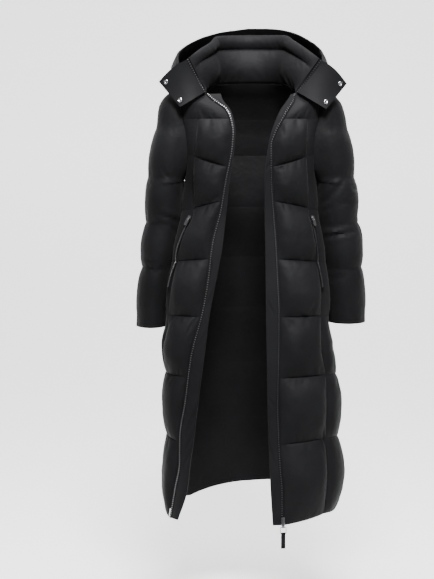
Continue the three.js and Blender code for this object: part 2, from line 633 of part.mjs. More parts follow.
const COLLAR_COLUMNS = 24;
const COLLAR_STEPS = [0, 0.14, 0.35, 0.56, COLLAR_SEAM, 0.85, 1];
const COLLAR_LIFT = 1.1;
function collarPoint(t, v) {
  const base = bodyPoint(...neckPlace(t));
  base.z += COLLAR_LIFT;
  const top = new THREE.Vector3(...["x", "y", "z"].map((axis) => along(COLLAR_TOP, "t", axis, t)));
  return base.lerp(top, v);
}

function collarGrid() {
  return COLLAR_STEPS.map((v) => Array.from(
    { length: COLLAR_COLUMNS + 1 }, (_, j) => collarPoint(j / COLLAR_COLUMNS, v)));
}

function collar() {
  const grid = collarGrid();
  const normals = gridNormals(grid, -1);
  const puff = (i, j) => {
    const v = COLLAR_STEPS[i];
    const w = v <= COLLAR_SEAM ? v / COLLAR_SEAM : (v - COLLAR_SEAM) / (1 - COLLAR_SEAM);
    const full = v <= COLLAR_SEAM ? COLLAR_PUFF : COLLAR_RIM_PUFF;
    return full * baffle(w) * across(j / COLLAR_COLUMNS, 0);
  };
  return wallGeometry(offset(grid, normals, () => 0), offset(grid, normals, (i, j) => -CLOTH - puff(i, j)));
}

// The zip goes on up the collar's front edges
function collarZip(side) {
  const grid = collarGrid();
  const column = side < 0 ? 0 : COLLAR_COLUMNS;
  const next = side < 0 ? 1 : COLLAR_COLUMNS - 1;
  const rows = grid.map((row, i) => {
    const edge = i === 0 ? row[column].clone().lerp(grid[1][column], COLLAR_ZIP.foot) : row[column];
    const away = row[column].clone().sub(row[next]).normalize();
    return [0, ZIP_WIDTH].map((reach) => edge.clone().addScaledVector(away, COLLAR_ZIP.gap + reach));
  });
  const normals = gridNormals(rows, side);
  return wallGeometry(
    offset(rows, normals, () => COLLAR_ZIP.outside), offset(rows, normals, () => -COLLAR_ZIP.inside));
}

// Hood: its point at an angle from the centre front, counted from the wearer's right front end
// round the back to the left one, and from the collar (v = 0) to the rim (v = 1)
const HOOD_LIFT = 0.08;
const HOOD_CLEAR = 1.9;
const HOOD_FILL = { seam: 0.25, from: 0.3, full: 0.5 };
function hoodNeck(turn) {
  const side = turn <= 180 ? -1 : 1;
  const at = turn <= 180 ? turn : 360 - turn;
  const corner = zipAngle(side, NECK.corner);
  const share = at < SHOULDER_ANGLE ? (0.25 * (at - corner)) / (SHOULDER_ANGLE - corner)
    : 0.25 + (0.25 * (at - SHOULDER_ANGLE)) / (180 - SHOULDER_ANGLE);
  const t = side < 0 ? share : 1 - share;
  const round = collarPoint(t + 0.01, HOOD_LIFT).sub(collarPoint(t - 0.01, HOOD_LIFT));
  const up = collarPoint(t, HOOD_LIFT + 0.05).sub(collarPoint(t, HOOD_LIFT - 0.05));
  return collarPoint(t, HOOD_LIFT).addScaledVector(up.cross(round).normalize(), HOOD_CLEAR);
}

function hoodPoint(turn, v) {
  const side = turn <= 180 ? -1 : 1;
  const at = turn <= 180 ? turn : 360 - turn;
  const value = (column) => along(HOOD_SECTIONS, "at", column, at);
  const heading = radians(value("turn"));
  const place = (r, z) => new THREE.Vector3(side * Math.sin(heading) * r, -Math.cos(heading) * r, z);
  const near = side > 0 ? Math.max(0, 1 - ((at - HOOD_LEFT_LIFT.middle) / HOOD_LEFT_LIFT.half) ** 2) : 0;
  const stations = [
    hoodNeck(turn),
    place(value("floorR"), value("floorZ")),
    place(value("outR"), value("outZ")),
    place(value("rimR"), value("rimZ") + HOOD_LEFT_LIFT.height * near),
  ];
  return new THREE.CatmullRomCurve3(stations, false, "centripetal").getPoint(v);
}

function hoodNormal(turn, v) {
  const round = hoodPoint(turn + 1, v).sub(hoodPoint(turn - 1, v));
  const up = hoodPoint(turn, Math.min(1, v + 0.03)).sub(hoodPoint(turn, Math.max(0, v - 0.03)));
  return up.cross(round).normalize();
}

const HOOD_STEPS = [0, 0.1, 0.22, 0.34, 0.45, 0.56, 0.67, 0.78, 0.89, 1];
const steps = (count) => Array.from({ length: count + 1 }, (_, j) => j / count);
function hoodPiece(from, to, columns) {
  const us = steps(columns);
  const base = drawIn(HOOD_STEPS.map((v) => us.map((u) => hoodPoint(lerp(from, to, u), v))));
  const normals = HOOD_STEPS.map((v) => us.map((u) => hoodNormal(lerp(from, to, u), v)));
  const puff = (i, j) => HOOD_PUFF * ramp(HOOD_STEPS[i], HOOD_FILL.from, HOOD_FILL.full)
    * baffle((HOOD_STEPS[i] - HOOD_FILL.seam) / (1 - HOOD_FILL.seam)) * across(us[j], 0);
  return wallGeometry(offset(base, normals, (i, j) => CLOTH + puff(i, j)), offset(base, normals, () => 0));
}

const HOOD_SPLIT_ANGLE = lerp(SHOULDER_ANGLE, 180, HOOD_SPLIT);
const hoodSide = (side) => (side < 0 ? hoodPiece(HOOD_START, HOOD_SPLIT_ANGLE, HOOD_SIDE_COLUMNS)
  : hoodPiece(360 - HOOD_SPLIT_ANGLE, 360 - HOOD_START, HOOD_SIDE_COLUMNS));
const hoodBack = () => hoodPiece(HOOD_SPLIT_ANGLE, 360 - HOOD_SPLIT_ANGLE, HOOD_BACK_COLUMNS);

// Flaps at the neck, from the collar's zips over the hood's front ends
const FLAP_ROWS = 6;
const FLAP_COLUMNS = 7;
function flapCorner(side, corner) {
  const shift = side < 0 ? { x: 0, y: 0, z: 0 } : FLAP.leftShift;
  return new THREE.Vector3(-side * corner.x + shift.x, corner.y + shift.y, corner.z + shift.z);
}

function flapGrid(side) {
  const end = side < 0 ? 0 : 1;
  return steps(FLAP_ROWS).map((w) => {
    const v = lerp(FLAP.start, 1, w);
    const inner = collarPoint(end, v);
    const away = inner.clone().sub(collarPoint(end - side / COLLAR_COLUMNS, v)).normalize();
    inner.addScaledVector(away, ZIP_WIDTH + FLAP.clear);
    const outer = flapCorner(side, FLAP.lower).lerp(flapCorner(side, FLAP.outer), w);
    return steps(FLAP_COLUMNS).map((u) => {
      const point = inner.clone().lerp(outer, u);
      point.y -= FLAP.swell * Math.sin(Math.PI * u);
      point.z += FLAP.rise * Math.sin(Math.PI * u) * w;
      return point;
    });
  });
}

function flap(side) {
  const grid = flapGrid(side);
  const normals = gridNormals(grid, side);
  return wallGeometry(offset(grid, normals, () => FLAT_CLOTH), offset(grid, normals, () => 0));
}

const snapGeometry = () => new THREE.LatheGeometry(
  SNAP_OUTLINE.map(({ radius, height }) => new THREE.Vector2(radius, height)), 12);

function snapFrame(side, v) {
  const grid = flapGrid(side);
  const normals = gridNormals(grid, side);
  const i = v === 0 ? 1 : FLAP_ROWS - 1;
  const j = FLAP_COLUMNS - 1;
  const normal = normals[i][j];
  return { point: grid[i][j].clone().addScaledVector(normal, FLAT_CLOTH + SNAP_GAP), normal };
}

// Pocket zips over the princess seams
const POCKET_ROWS = 12;
function pocketPlace(side, w, acrossMm) {
  const z = lerp(POCKET.top, POCKET.bottom, w);
  const angle = side * princessAngle(side, z);
  const normal = bodyNormal(angle, z);
  const tangent = bodyPoint(angle + side, z).sub(bodyPoint(angle - side, z)).normalize();
  return { point: bodyPoint(angle, z).addScaledVector(tangent, acrossMm), normal };
}

function pocketLift(side, z) {
  const seam = SEAMS.findIndex((row, k) => z <= row.princess && z > SEAMS[k + 1].princess);
  const w = (z - SEAMS[seam].princess) / (SEAMS[seam + 1].princess - SEAMS[seam].princess);
  return POCKET.lift + POCKET[sideKey(side)] * FRONT_PUFF * baffle(w);
}

function pocketZip(side) {
  const rows = steps(POCKET_ROWS).map((w) => [-0.5, 0.5].map(
    (share) => pocketPlace(side, w, share * POCKET.width)));
  const lift = rows.map((_, i) => pocketLift(side, lerp(POCKET.top, POCKET.bottom, i / POCKET_ROWS)));
  const at = (extra) => rows.map((row, i) => row.map(
    ({ point, normal }) => point.clone().addScaledVector(normal, lift[i] + extra)));
  return wallGeometry(at(POCKET.thickness), at(0));
}

// Solids joined and cut
const manifold = await loadManifold();
manifold.setup();

function solidFrom(geometry) {
  const bare = new THREE.BufferGeometry();
  bare.setAttribute("position", geometry.getAttribute("position"));
  bare.setIndex(geometry.getIndex());
  const merged = mergeVertices(bare, 1e-4);
  return new manifold.Manifold(new manifold.Mesh({
    numProp: 3,
    vertProperties: Float32Array.from(merged.getAttribute("position").array),
    triVerts: Uint32Array.from(merged.getIndex().array),
  }));
}

function geometryFrom(solid) {
  const mesh = solid.getMesh();
  const geometry = new THREE.BufferGeometry();
  geometry.setAttribute("position", new THREE.Float32BufferAttribute(mesh.vertProperties, 3));
  geometry.setIndex(Array.from(mesh.triVerts));
  geometry.computeVertexNormals();
  return geometry;
}

// Hardware is drawn with the cloth in the plane z = 0, the outside at +z and the zip along y
function extrude(shape, depth, curveSegments = 4) {
  return new THREE.ExtrudeGeometry(shape, { depth, bevelEnabled: false, curveSegments });
}

function roundedShape(width, length, radius) {
  const shape = new THREE.Shape();
  const x = width / 2;
  const y = length / 2;
  shape.moveTo(-x + radius, -y);
  shape.lineTo(x - radius, -y);
  shape.quadraticCurveTo(x, -y, x, -y + radius);
  shape.lineTo(x, y - radius);
  shape.quadraticCurveTo(x, y, x - radius, y);
  shape.lineTo(-x + radius, y);
  shape.quadraticCurveTo(-x, y, -x, y - radius);
  shape.lineTo(-x, -y + radius);
  shape.quadraticCurveTo(-x, -y, -x + radius, -y);
  return shape;
}

function box(width, length, height, y, z) {
  const geometry = new THREE.BoxGeometry(width, length, height);
  geometry.translate(0, y, z);
  return solidFrom(geometry);
}

// A round bar along x
function bar(radius, length, y, z) {
  const geometry = new THREE.CylinderGeometry(radius, radius, length, 16);
  geometry.rotateZ(Math.PI / 2);
  geometry.translate(0, y, z);
  return solidFrom(geometry);
}

// Slider body with the arched bridge that its pull hangs on
const HINGE_HEIGHT = SLIDER.thickness + BRIDGE.clear / 2;
function slider() {
  const body = solidFrom(extrude(roundedShape(SLIDER.width, SLIDER.length, SLIDER.corner), SLIDER.thickness));
  const height = BRIDGE.clear + BRIDGE.bar + BRIDGE.sunk;
  const middle = SLIDER.thickness - BRIDGE.sunk + height / 2;
  const arch = box(BRIDGE.width, BRIDGE.span, height, 0, middle);
  const opening = box(2 * BRIDGE.width, BRIDGE.span - 2 * BRIDGE.bar, BRIDGE.clear, 0, HINGE_HEIGHT);
  return geometryFrom(body.add(arch.subtract(opening)));
}

// A flat tab with its eye round the bridge; the hinge line is at y = 0, and it hangs towards -y
function tab(length, width) {
  const x = width / 2;
  const eye = PULL.eyeWidth / 2;
  const top = PULL.bar / 2;
  const outline = [
    [-eye, top], [eye, top], [x, -PULL.eyeLength], [x, PULL.cut - length],
    [x - PULL.cut, -length], [PULL.cut - x, -length], [-x, PULL.cut - length], [-x, -PULL.eyeLength],
  ];
  const shape = new THREE.Shape(outline.map(([u, v]) => new THREE.Vector2(u, v)));
  const plate = extrude(shape, PULL.thickness);
  plate.translate(0, 0, -PULL.thickness / 2);
  const opening = PULL.eyeLength - PULL.bar;
  return solidFrom(plate).subtract(
    box(PULL.eyeWidth - 2 * PULL.bar, opening, 2 * PULL.thickness, -top - opening / 2, 0));
}

// The main pull: a link, a wire ring through its lower end, and a folded ribbon through the ring
const RING_TOP = -LINK.length - LINK.tubeRadius;
const RING_FOOT = RING_TOP - RING.length + RING.wire;
function link() {
  const tube = bar(LINK.tubeRadius, LINK.tubeWidth, RING_TOP, 0);
  const bore = bar(LINK.boreRadius, 2 * LINK.tubeWidth, RING_TOP, 0);
  return geometryFrom(tab(LINK.length + LINK.tubeRadius / 2, LINK.width).add(tube).subtract(bore));
}

function ring() {
  const outer = roundedShape(RING.width, RING.length, RING.corner);
  const inner = roundedShape(RING.width - 2 * RING.wire, RING.length - 2 * RING.wire, RING.innerCorner);
  outer.holes.push(new THREE.Path(inner.getPoints(4)));
  const geometry = extrude(outer, RING.wire);
  geometry.translate(0, RING_TOP - RING.length / 2 + RING.wire / 2, -RING.wire / 2);
  return geometry;
}

function ribbon() {
  const fold = bar(RIBBON.eyeRadius, RIBBON.width, RING_FOOT, 0);
  const tails = box(RIBBON.width, RIBBON.length, 2 * RIBBON.half, RING_FOOT - RIBBON.length / 2, 0);
  const bore = bar(RIBBON.boreRadius, 2 * RIBBON.width, RING_FOOT, 0);
  return geometryFrom(fold.add(tails).subtract(bore));
}

// Places on the zips for hardware: origin on the outer face, x across, y up along the zip, z outwards
function framed(origin, up, normal) {
  const y = up.clone().normalize();
  const x = y.clone().cross(normal).normalize();
  const z = x.clone().cross(y).normalize();
  return new THREE.Matrix4().makeBasis(x, y, z).setPosition(origin.clone().addScaledVector(z, SLIDER.gap));
}

function zipPlace(side, z, step = 5) {
  const at = (height) => {
    const angle = side * angleAtX(side, zipX(side, height) - ZIP_WIDTH / 2, height);
    const normal = bodyNormal(angle, height);
    return { point: bodyPoint(angle, height).addScaledVector(normal, ZIP_RISE), normal };
  };
  const { point, normal } = at(z);
  return framed(point, at(z + step).point.sub(at(z - step).point), normal);
}

function pocketSliderPlace(side, step = 0.02) {
  const at = (w) => {
    const { point, normal } = pocketPlace(side, w, 0);
    const lift = pocketLift(side, lerp(POCKET.top, POCKET.bottom, w)) + POCKET.thickness;
    return { point: point.addScaledVector(normal, lift), normal };
  };
  const { point, normal } = at(POCKET_SLIDER_AT);
  return framed(point, at(POCKET_SLIDER_AT - step).point.sub(at(POCKET_SLIDER_AT + step).point), normal);
}

// The hinge of a pull, in the slider's frame; the main pull hangs plumb from it, turned about x
function hingePlace(place, plumb) {
  const hinge = new THREE.Matrix4().makeTranslation(0, 0, HINGE_HEIGHT);
  const frame = place.clone().multiply(hinge);
  if (!plumb) return frame;
  const x = new THREE.Vector3().setFromMatrixColumn(frame, 0).setZ(0).normalize();
  const up = new THREE.Vector3(0, 0, 1);
  return new THREE.Matrix4().makeBasis(x, up, x.clone().cross(up)).setPosition(
    new THREE.Vector3().setFromMatrixPosition(frame));
}

// Colours and the coat's group
function material(color, roughness, metalness) {
  return new THREE.MeshStandardMaterial({ color, roughness, metalness });
}
const shell = () => material(COLOURS.shell, 0.62, 0);
const flat = () => material(COLOURS.lining, 0.7, 0);
const tape = () => material(COLOURS.tape, 0.8, 0);
const metal = () => material(COLOURS.metal, 0.3, 0.9);
const webbing = () => material(COLOURS.ribbon, 0.85, 0);

const coat = new THREE.Group();
function add(name, geometry, surface, parent = coat) {
  const mesh = new THREE.Mesh(geometry, surface);
  mesh.name = name;
  parent.add(mesh);
  return mesh;
}

Object.entries(BACK_PARTS).forEach(([word, share]) => add(`back_${word}`, backPanel(share), shell()));
add("back_yoke", backYoke(), shell());
add("collar", collar(), shell());
add("hood_back", hoodBack(), shell());

const SIDES = { right: -1, left: 1 };
Object.entries(SIDES).forEach(([word, side]) => {
  add(`front_${word}`, frontPanel(side), shell());
  add(`side_${word}`, sidePanel(side), shell());
  add(`front_yoke_${word}`, frontYoke(side), shell());
  add(`sleeve_${word}`, sleeve(side), shell());
  add(`hood_${word}`, hoodSide(side), shell());
  add(`zip_${word}`, zipHalf(side), tape());
  add(`wind_guard_${word}`, windGuard(side), flat());
  add(`collar_zip_${word}`, collarZip(side), tape());
  add(`neck_flap_${word}`, flap(side), flat());
  add(`pocket_zip_${word}`, pocketZip(side), tape());
  [0, 1].forEach((v) => {
    const { point, normal } = snapFrame(side, v);
    const snap = add(`snap_${word}_${v ? "upper" : "lower"}`, snapGeometry(), metal());
    snap.position.copy(point);
    snap.quaternion.setFromUnitVectors(new THREE.Vector3(0, 1, 0), normal);
  });
});

function addPlaced(name, geometry, surface, place) {
  geometry.applyMatrix4(place);
  add(name, geometry, surface);
}

function plate({ width, length, corner, thickness }) {
  return extrude(roundedShape(width, length, corner), thickness);
}

const mainPlace = zipPlace(SIDES.left, MAIN_SLIDER_Z);
const mainHinge = hingePlace(mainPlace, true);
addPlaced("zip_slider", slider(), metal(), mainPlace);
addPlaced("pull_link", link(), metal(), mainHinge);
addPlaced("pull_ring", ring(), metal(), mainHinge);
addPlaced("pull_ribbon", ribbon(), webbing(), mainHinge);
addPlaced("zip_retainer", plate(RETAINER), metal(), zipPlace(SIDES.left, RETAINER.z));
addPlaced("zip_pin", plate(PIN), metal(), zipPlace(SIDES.right, PIN.z));
Object.entries(SIDES).forEach(([word, side]) => {
  const place = pocketSliderPlace(side);
  addPlaced(`pocket_slider_${word}`, slider(), metal(), place);
  addPlaced(`pocket_pull_${word}`, geometryFrom(tab(PULL.tabLength, PULL.tabWidth)), metal(),
    hingePlace(place, false));
});

export default coat;
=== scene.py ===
# Looks of the long puffer coat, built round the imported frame.
# Shapes are worked out in millimetres from the same named sizes as the solids, in finer steps.
import math

import bmesh
import bpy
import numpy as np
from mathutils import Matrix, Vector, noise


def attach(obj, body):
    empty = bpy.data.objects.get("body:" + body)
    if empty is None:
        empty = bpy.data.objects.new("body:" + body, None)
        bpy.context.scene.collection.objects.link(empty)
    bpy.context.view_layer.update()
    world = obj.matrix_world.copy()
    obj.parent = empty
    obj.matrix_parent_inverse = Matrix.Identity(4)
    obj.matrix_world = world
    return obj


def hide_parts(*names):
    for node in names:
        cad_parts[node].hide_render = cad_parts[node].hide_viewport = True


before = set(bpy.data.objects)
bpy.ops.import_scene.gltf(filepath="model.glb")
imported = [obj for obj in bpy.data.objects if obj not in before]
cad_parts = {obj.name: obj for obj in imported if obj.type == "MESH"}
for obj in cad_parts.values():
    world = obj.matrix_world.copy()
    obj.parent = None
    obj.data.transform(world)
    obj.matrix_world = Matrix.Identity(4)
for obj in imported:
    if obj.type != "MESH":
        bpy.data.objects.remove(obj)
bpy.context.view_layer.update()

MM = 0.001
BODY = "coat"
SIDES = {"right": -1, "left": 1}

# Camera, lights and floor
CAMERA = {"place": (-0.085, -3.4, -0.15), "tilt": 6.2, "lens": 54.2, "sensor": 24}
LIGHTS = {
    "key": ((0.1, -2.5, 2.5), (0, 0, -0.5), (1.1, 0.9), 400),
    "fill": ((0.9, -3.4, 0.3), (0, 0, -0.6), (1.4, 1.8), 20),
    "top": ((0, -0.3, 2.5), (0, 0, -0.2), (1.6, 1.0), 165),
    "rim_right": ((-2.2, 1.6, 1.2), (0, 0, -0.4), (1.0, 1.6), 6),
    "rim_left": ((2.2, 1.6, 1.2), (0, 0, -0.4), (1.0, 1.6), 6),
}
WORLD_LIGHT = 0.12
FLOOR = {"z": -1.42, "half": 7.0, "start": -9.0, "depth": 3.0, "bend": 1.2, "rise": 6.0, "steps": 12}
PALE = (0.93, 0.93, 0.935, 1)
GREY = (0.30, 0.30, 0.303, 1)
PAPER = {"roughness": 0.9, "from": -0.7, "to": 0.25, "glow": (0.05, 0.95)}
# The mix node's colour sockets share their names with others, so they go by number
MIX = {"share": 0, "low": 6, "high": 7, "result": 2}


def add_object(name, data):
    obj = bpy.data.objects.new(name, data)
    bpy.context.scene.collection.objects.link(obj)
    return obj


def camera():
    data = bpy.data.cameras.new("camera")
    data.sensor_fit = "VERTICAL"
    data.sensor_height = CAMERA["sensor"]
    data.lens = CAMERA["lens"]
    obj = add_object("camera", data)
    obj.location = CAMERA["place"]
    obj.rotation_euler = (math.radians(90 - CAMERA["tilt"]), 0, 0)
    bpy.context.scene.camera = obj


def softbox(name, place, target, size, power):
    data = bpy.data.lights.new(name, "AREA")
    data.shape = "RECTANGLE"
    data.size, data.size_y = size
    data.energy = power
    obj = add_object(name, data)
    obj.location = place
    obj.rotation_euler = (Vector(target) - Vector(place)).to_track_quat("-Z", "Y").to_euler()


def studio():
    for name, light in LIGHTS.items():
        softbox(name, *light)
    world = bpy.data.worlds.new("studio")
    bpy.context.scene.world = world
    world.use_nodes = True
    background = world.node_tree.nodes["Background"]
    background.inputs["Color"].default_value = PALE
    background.inputs["Strength"].default_value = WORLD_LIGHT


def floor():
    depth, bend, steps = FLOOR["depth"], FLOOR["bend"], FLOOR["steps"]
    profile = [(FLOOR["start"], 0.0), (depth, 0.0)]
    for k in range(1, steps + 1):
        angle = math.pi / 2 * k / steps
        profile.append((depth + bend * math.sin(angle), bend * (1 - math.cos(angle))))
    profile.append((depth + bend, FLOOR["rise"]))
    verts = [(x, y, FLOOR["z"] + z) for y, z in profile for x in (-FLOOR["half"], FLOOR["half"])]
    faces = [(2 * k, 2 * k + 1, 2 * k + 3, 2 * k + 2) for k in range(len(profile) - 1)]
    mesh = bpy.data.meshes.new("floor")
    mesh.from_pydata(verts, [], faces)
    mesh.shade_smooth()
    obj = add_object("floor", mesh)
    paper = bpy.data.materials.new("paper")
    paper.use_nodes = True
    shader = paper.node_tree.nodes["Principled BSDF"]
    shader.inputs["Roughness"].default_value = PAPER["roughness"]
    shader.inputs["Emission Color"].default_value = PALE
    nodes, links = paper.node_tree.nodes, paper.node_tree.links
    place = nodes.new("ShaderNodeNewGeometry")
    split = nodes.new("ShaderNodeSeparateXYZ")
    links.new(place.outputs["Position"], split.inputs[0])
    share = nodes.new("ShaderNodeMapRange")
    share.inputs["From Min"].default_value = PAPER["from"]
    share.inputs["From Max"].default_value = PAPER["to"]
    links.new(split.outputs["Y"], share.inputs["Value"])
    glow = nodes.new("ShaderNodeMapRange")
    glow.inputs["To Min"].default_value, glow.inputs["To Max"].default_value = PAPER["glow"]
    links.new(share.outputs["Result"], glow.inputs["Value"])
    links.new(glow.outputs["Result"], shader.inputs["Emission Strength"])
    tone = nodes.new("ShaderNodeMix")
    tone.data_type = "RGBA"
    tone.inputs[MIX["low"]].default_value = GREY
    tone.inputs[MIX["high"]].default_value = PALE
    links.new(share.outputs["Result"], tone.inputs[MIX["share"]])
    links.new(tone.outputs[MIX["result"]], shader.inputs["Base Color"])
    mesh.materials.append(paper)


# Tables with named columns
def table(names, *rows):
    keys = names.split()
    return {key: np.array([row[k] for row in rows], float) for k, key in enumerate(keys)}


# Thickness of the cloth, the gap at a seam, and how far the filling stands out
CLOTH = 3.0
SEAM_GAP = 0.02
DEEPEST = -1.2
FRONT_PUFF = 21
BACK_PUFF = 20
SIDE_PUFF = 15
PRESSED_PUFF = 3
YOKE_PUFF = 9
SLEEVE_PUFF = 8
COLLAR_PUFF = 17
HOOD_PUFF = 9
LINING_PUFF = 2.2
BAFFLE_POWER = 0.65
EDGE_POWER = 4
SIDE_OPENS = {"top": -590, "over": 60}
FRONT_TURN = {"from": 58, "over": 22, "zip_edge": 0.12}
BACK_TURN = {"from": 0.7, "over": 0.3}

# The body: half widths to the wearer's right and left, depths, and the middle's place
RING_POWER = 2.4
RINGS = table(
    "z right left front back mid",
    (-1125, 222, 224, 140, 146, 0),
    (-1000, 218, 238, 141, 148, -8),
    (-905, 217, 231, 140, 146, -16),
    (-740, 218, 224, 135, 142, -32),
    (-655, 216, 201, 130, 138, -42),
    (-575, 213, 202, 125, 134, -42),
    (-430, 195, 190, 112, 124, -28),
    (-305, 171, 171, 102, 106, -14),
    (-240, 169, 170, 104, 110, 0),
    (-165, 181, 182, 108, 116, 0),
    (-120, 187, 188, 106, 116, 0),
    (-78, 190, 191, 99, 110, 0),
    (-50, 186, 187, 90, 101, 0),
    (-20, 168, 168, 75, 85, 0),
    (-5, 126, 126, 63, 71, 0),
    (8, 97, 97, 54, 62, 0),
    (24, 84, 84, 46, 55, 0),
)
# Heights of the quilt seams, on four lines
SEAMS = table(
    "zip princess side back",
    (-78, -78, -78, -78),
    (-198, -172, -165, -172),
    (-285, -305, -312, -308),
    (-431, -440, -445, -442),
    (-577, -577, -582, -580),
    (-732, -728, -736, -732),
    (-902, -892, -902, -890),
    (-1112, -1094, -1100, -1062),
)
# Places across of the zips and of the wind guards' free edges
ZIP_LINES = table(
    "z right left",
    (-15, 115, 116),
    (-31, 98, 112),
    (-56, 65, 97),
    (-80, 55, 83),
    (-110, 50, 67),
    (-145, 52, 56),
    (-233, 68, 57),
    (-306, 80, 62),
    (-396, 102, 69),
    (-480, 112, 73),
    (-566, 127, 77),
    (-675, 155, 76),
    (-796, 171, 74),
    (-891, 185, 77),
    (-960, 186, 81),
    (-1023, 197, 86),
    (-1112, 211, 87),
)
GUARD_EDGES = table(
    "z right left",
    (5, 84, 112),
    (-15, 76, 102),
    (-31, 70, 92),
    (-56, 51, 74),
    (-80, 43, 63),
    (-110, 39, 52),
    (-145, 41, 44),
    (-233, 53, 35),
    (-306, 61, 35),
    (-396, 71, 37),
    (-480, 86, 38),
    (-566, 103, 39),
    (-675, 117, 41),
    (-796, 133, 43),
    (-891, 144, 46),
    (-960, 154, 49),
    (-1023, 161, 52),
    (-1112, 188, 58),
)
# Angles round the body of the princess and side seams
PRINCESS_SEAM = table(
    "z right left",
    (-78, 40, 45),
    (-150, 46, 46),
    (-231, 54, 54),
    (-305, 54, 57),
    (-375, 63, 59),
    (-430, 70, 60),
    (-500, 73, 61),
    (-577, 76, 60),
    (-670, 82, 60),
    (-730, 84, 57),
    (-863, 91, 55),
    (-1000, 97, 53),
    (-1115, 104, 54),
)
SIDE_SEAM = table(
    "z right left",
    (-238.5, 92, 92),
    (-312, 94, 93),
    (-445, 105, 97),
    (-582, 112, 98),
    (-736, 120, 96),
    (-902, 128, 95),
    (-1115, 138, 95),
)
SHOULDER_ANGLE = 92
ARMHOLE = {"top": -20, "bottom": -238.5, "half_angle": 34, "inset": 0.6, "under": 2.2, "over": 1.2}
ARMHOLE_MIDDLE = (ARMHOLE["top"] + ARMHOLE["bottom"]) / 2
ARMHOLE_HALF = (ARMHOLE["top"] - ARMHOLE["bottom"]) / 2
NECK = {"corner": -15, "shoulder": 8, "back": 16}
# The sleeves: rows of the cap by the armhole's turn, then closed rings
CAP_ROWS = table(
    "z right left mid_right mid_left y depth hole seam",
    (-17, 205, 207, 166, 166, 0, 46, 38, 0.45),
    (-46, 228, 232, 174, 174, 0, 55, 57, 0.75),
    (-98, 240, 249, 186, 188, 0, 60, 73.5, 1),
    (-122, 245, 253, 192, 194, 0, 64, 86.3, 1.18),
    (-162, 252, 261, 200, 203, 1, 65, 107.5, 1.5),
    (-203, 259, 266, 208, 212, 2, 65, 132.5, 1.82),
    (-226, 263, 269, 212, 216, 3, 64, 153, 2),
    (-246, 264, 272, 217, 222, 4, 64, 180, 2.18),
)
SLEEVE_RINGS = table(
    "z right left inner_right inner_left y depth seam",
    (-246, 264, 272, 176, 176, 4, 64, 2.18),
    (-285, 265, 275, 175, 175, 6, 63, 2.5),
    (-324, 267, 277, 175, 175, 9, 62, 2.82),
    (-344, 270, 282, 178, 177, 11, 61, 3),
    (-366, 273, 287, 184, 181, 12, 61, 3.18),
    (-402, 277, 289, 192, 188, 14, 61, 3.5),
    (-440, 280, 292, 199, 194, 16, 60, 3.82),
    (-460, 281, 293, 203, 197, 18, 60, 4),
    (-484, 285, 295, 207, 199, 20, 60, 4.18),
    (-530, 289, 298, 212, 202, 24, 59, 4.5),
    (-578, 292, 301, 217, 205, 28, 58, 4.82),
    (-606, 293, 301, 219, 207, 31, 57, 5),
)
CUFF = {"seam": 5, "full": 0.75, "from": 4.5, "to": 4.82, "start": 4, "right_drop": 11}
COLLAR_TOP = table(
    "t x y z",
    (0, -157, -62, 74),
    (0.1, -131, -38, 97),
    (0.2, -104, 0, 117),
    (0.32, -84, 42, 137),
    (0.5, 0, 82, 142),
    (0.68, 90, 42, 139),
    (0.8, 115, 0, 121),
    (0.9, 142, -38, 99),
    (1, 175, -60, 72),
)
COLLAR_SEAM = 0.7
COLLAR_TOP_SHARE = 0.6
COLLAR_LIFT = 1.1
ZIP_WIDTH = 7
ZIP_RISE = 1.5
HOOD_START = 54
HOOD_LIFT = 0.08
HOOD_CLEAR = 1.9
HOOD_SPLIT = 0.34
HOOD_LEFT_LIFT = {"middle": 132, "half": 46, "height": 10}
HOOD_SECTIONS = table(
    "at turn floor_r floor_z out_r out_z rim_r rim_z",
    (54, 74, 148, 8, 181, 30, 188, 64),
    (92, 94, 146, 16, 190, 42, 180, 96),
    (120, 120, 146, 8, 208, 26, 151, 131),
    (150, 150, 150, -36, 232, -2, 144, 152),
    (180, 180, 158, -62, 244, -16, 150, 165),
)
FLAP = {"lower": (-177, -82, -50), "outer": (-231, -40, 16), "left_shift": (12, 0, -5),
        "start": 0.07, "clear": 1, "rise": 7, "swell": 5}
POCKET = {"top": -322, "bottom": -506, "width": 9, "thickness": 2, "lift": 0.9,
          "right": 0.5, "left": 0.42}


# A column of a table at values of its key, drawn smoothly through the rows
def along(rows, key, column, value):
    xs, ys = rows[key], rows[column]
    if xs[0] > xs[-1]:
        xs, ys = xs[::-1], ys[::-1]
    secant = np.diff(ys) / np.diff(xs)
    slope = np.zeros(len(xs))
    slope[0], slope[-1] = secant[0], secant[-1]
    before, after = secant[:-1], secant[1:]
    total = np.where(before * after > 0, before + after, 1)
    slope[1:-1] = np.where(before * after > 0, 2 * before * after / total, 0)
    at = np.clip(value, xs[0], xs[-1])
    i = np.clip(np.searchsorted(xs, at) - 1, 0, len(xs) - 2)
    width = xs[i + 1] - xs[i]
    w = (at - xs[i]) / width
    return (ys[i] * (2 * w**3 - 3 * w**2 + 1) + ys[i + 1] * (3 * w**2 - 2 * w**3)
            + width * (slope[i] * (w**3 - 2 * w**2 + w) + slope[i + 1] * (w**3 - w**2)))


def lerp(a, b, w):
    return a + (b - a) * w


def even_row(count):
    return np.linspace(0, 1, count)[None, :]


def side_key(side):
    return "right" if side < 0 else "left"


def unit(v):
    return v / np.maximum(np.linalg.norm(v, axis=-1, keepdims=True), 1e-9)


# Where the arms hang, the sides swell against the sleeves
ARM_FILL = {"width": 4, "top": -246, "bottom": -600, "fade": 40, "power": 20}


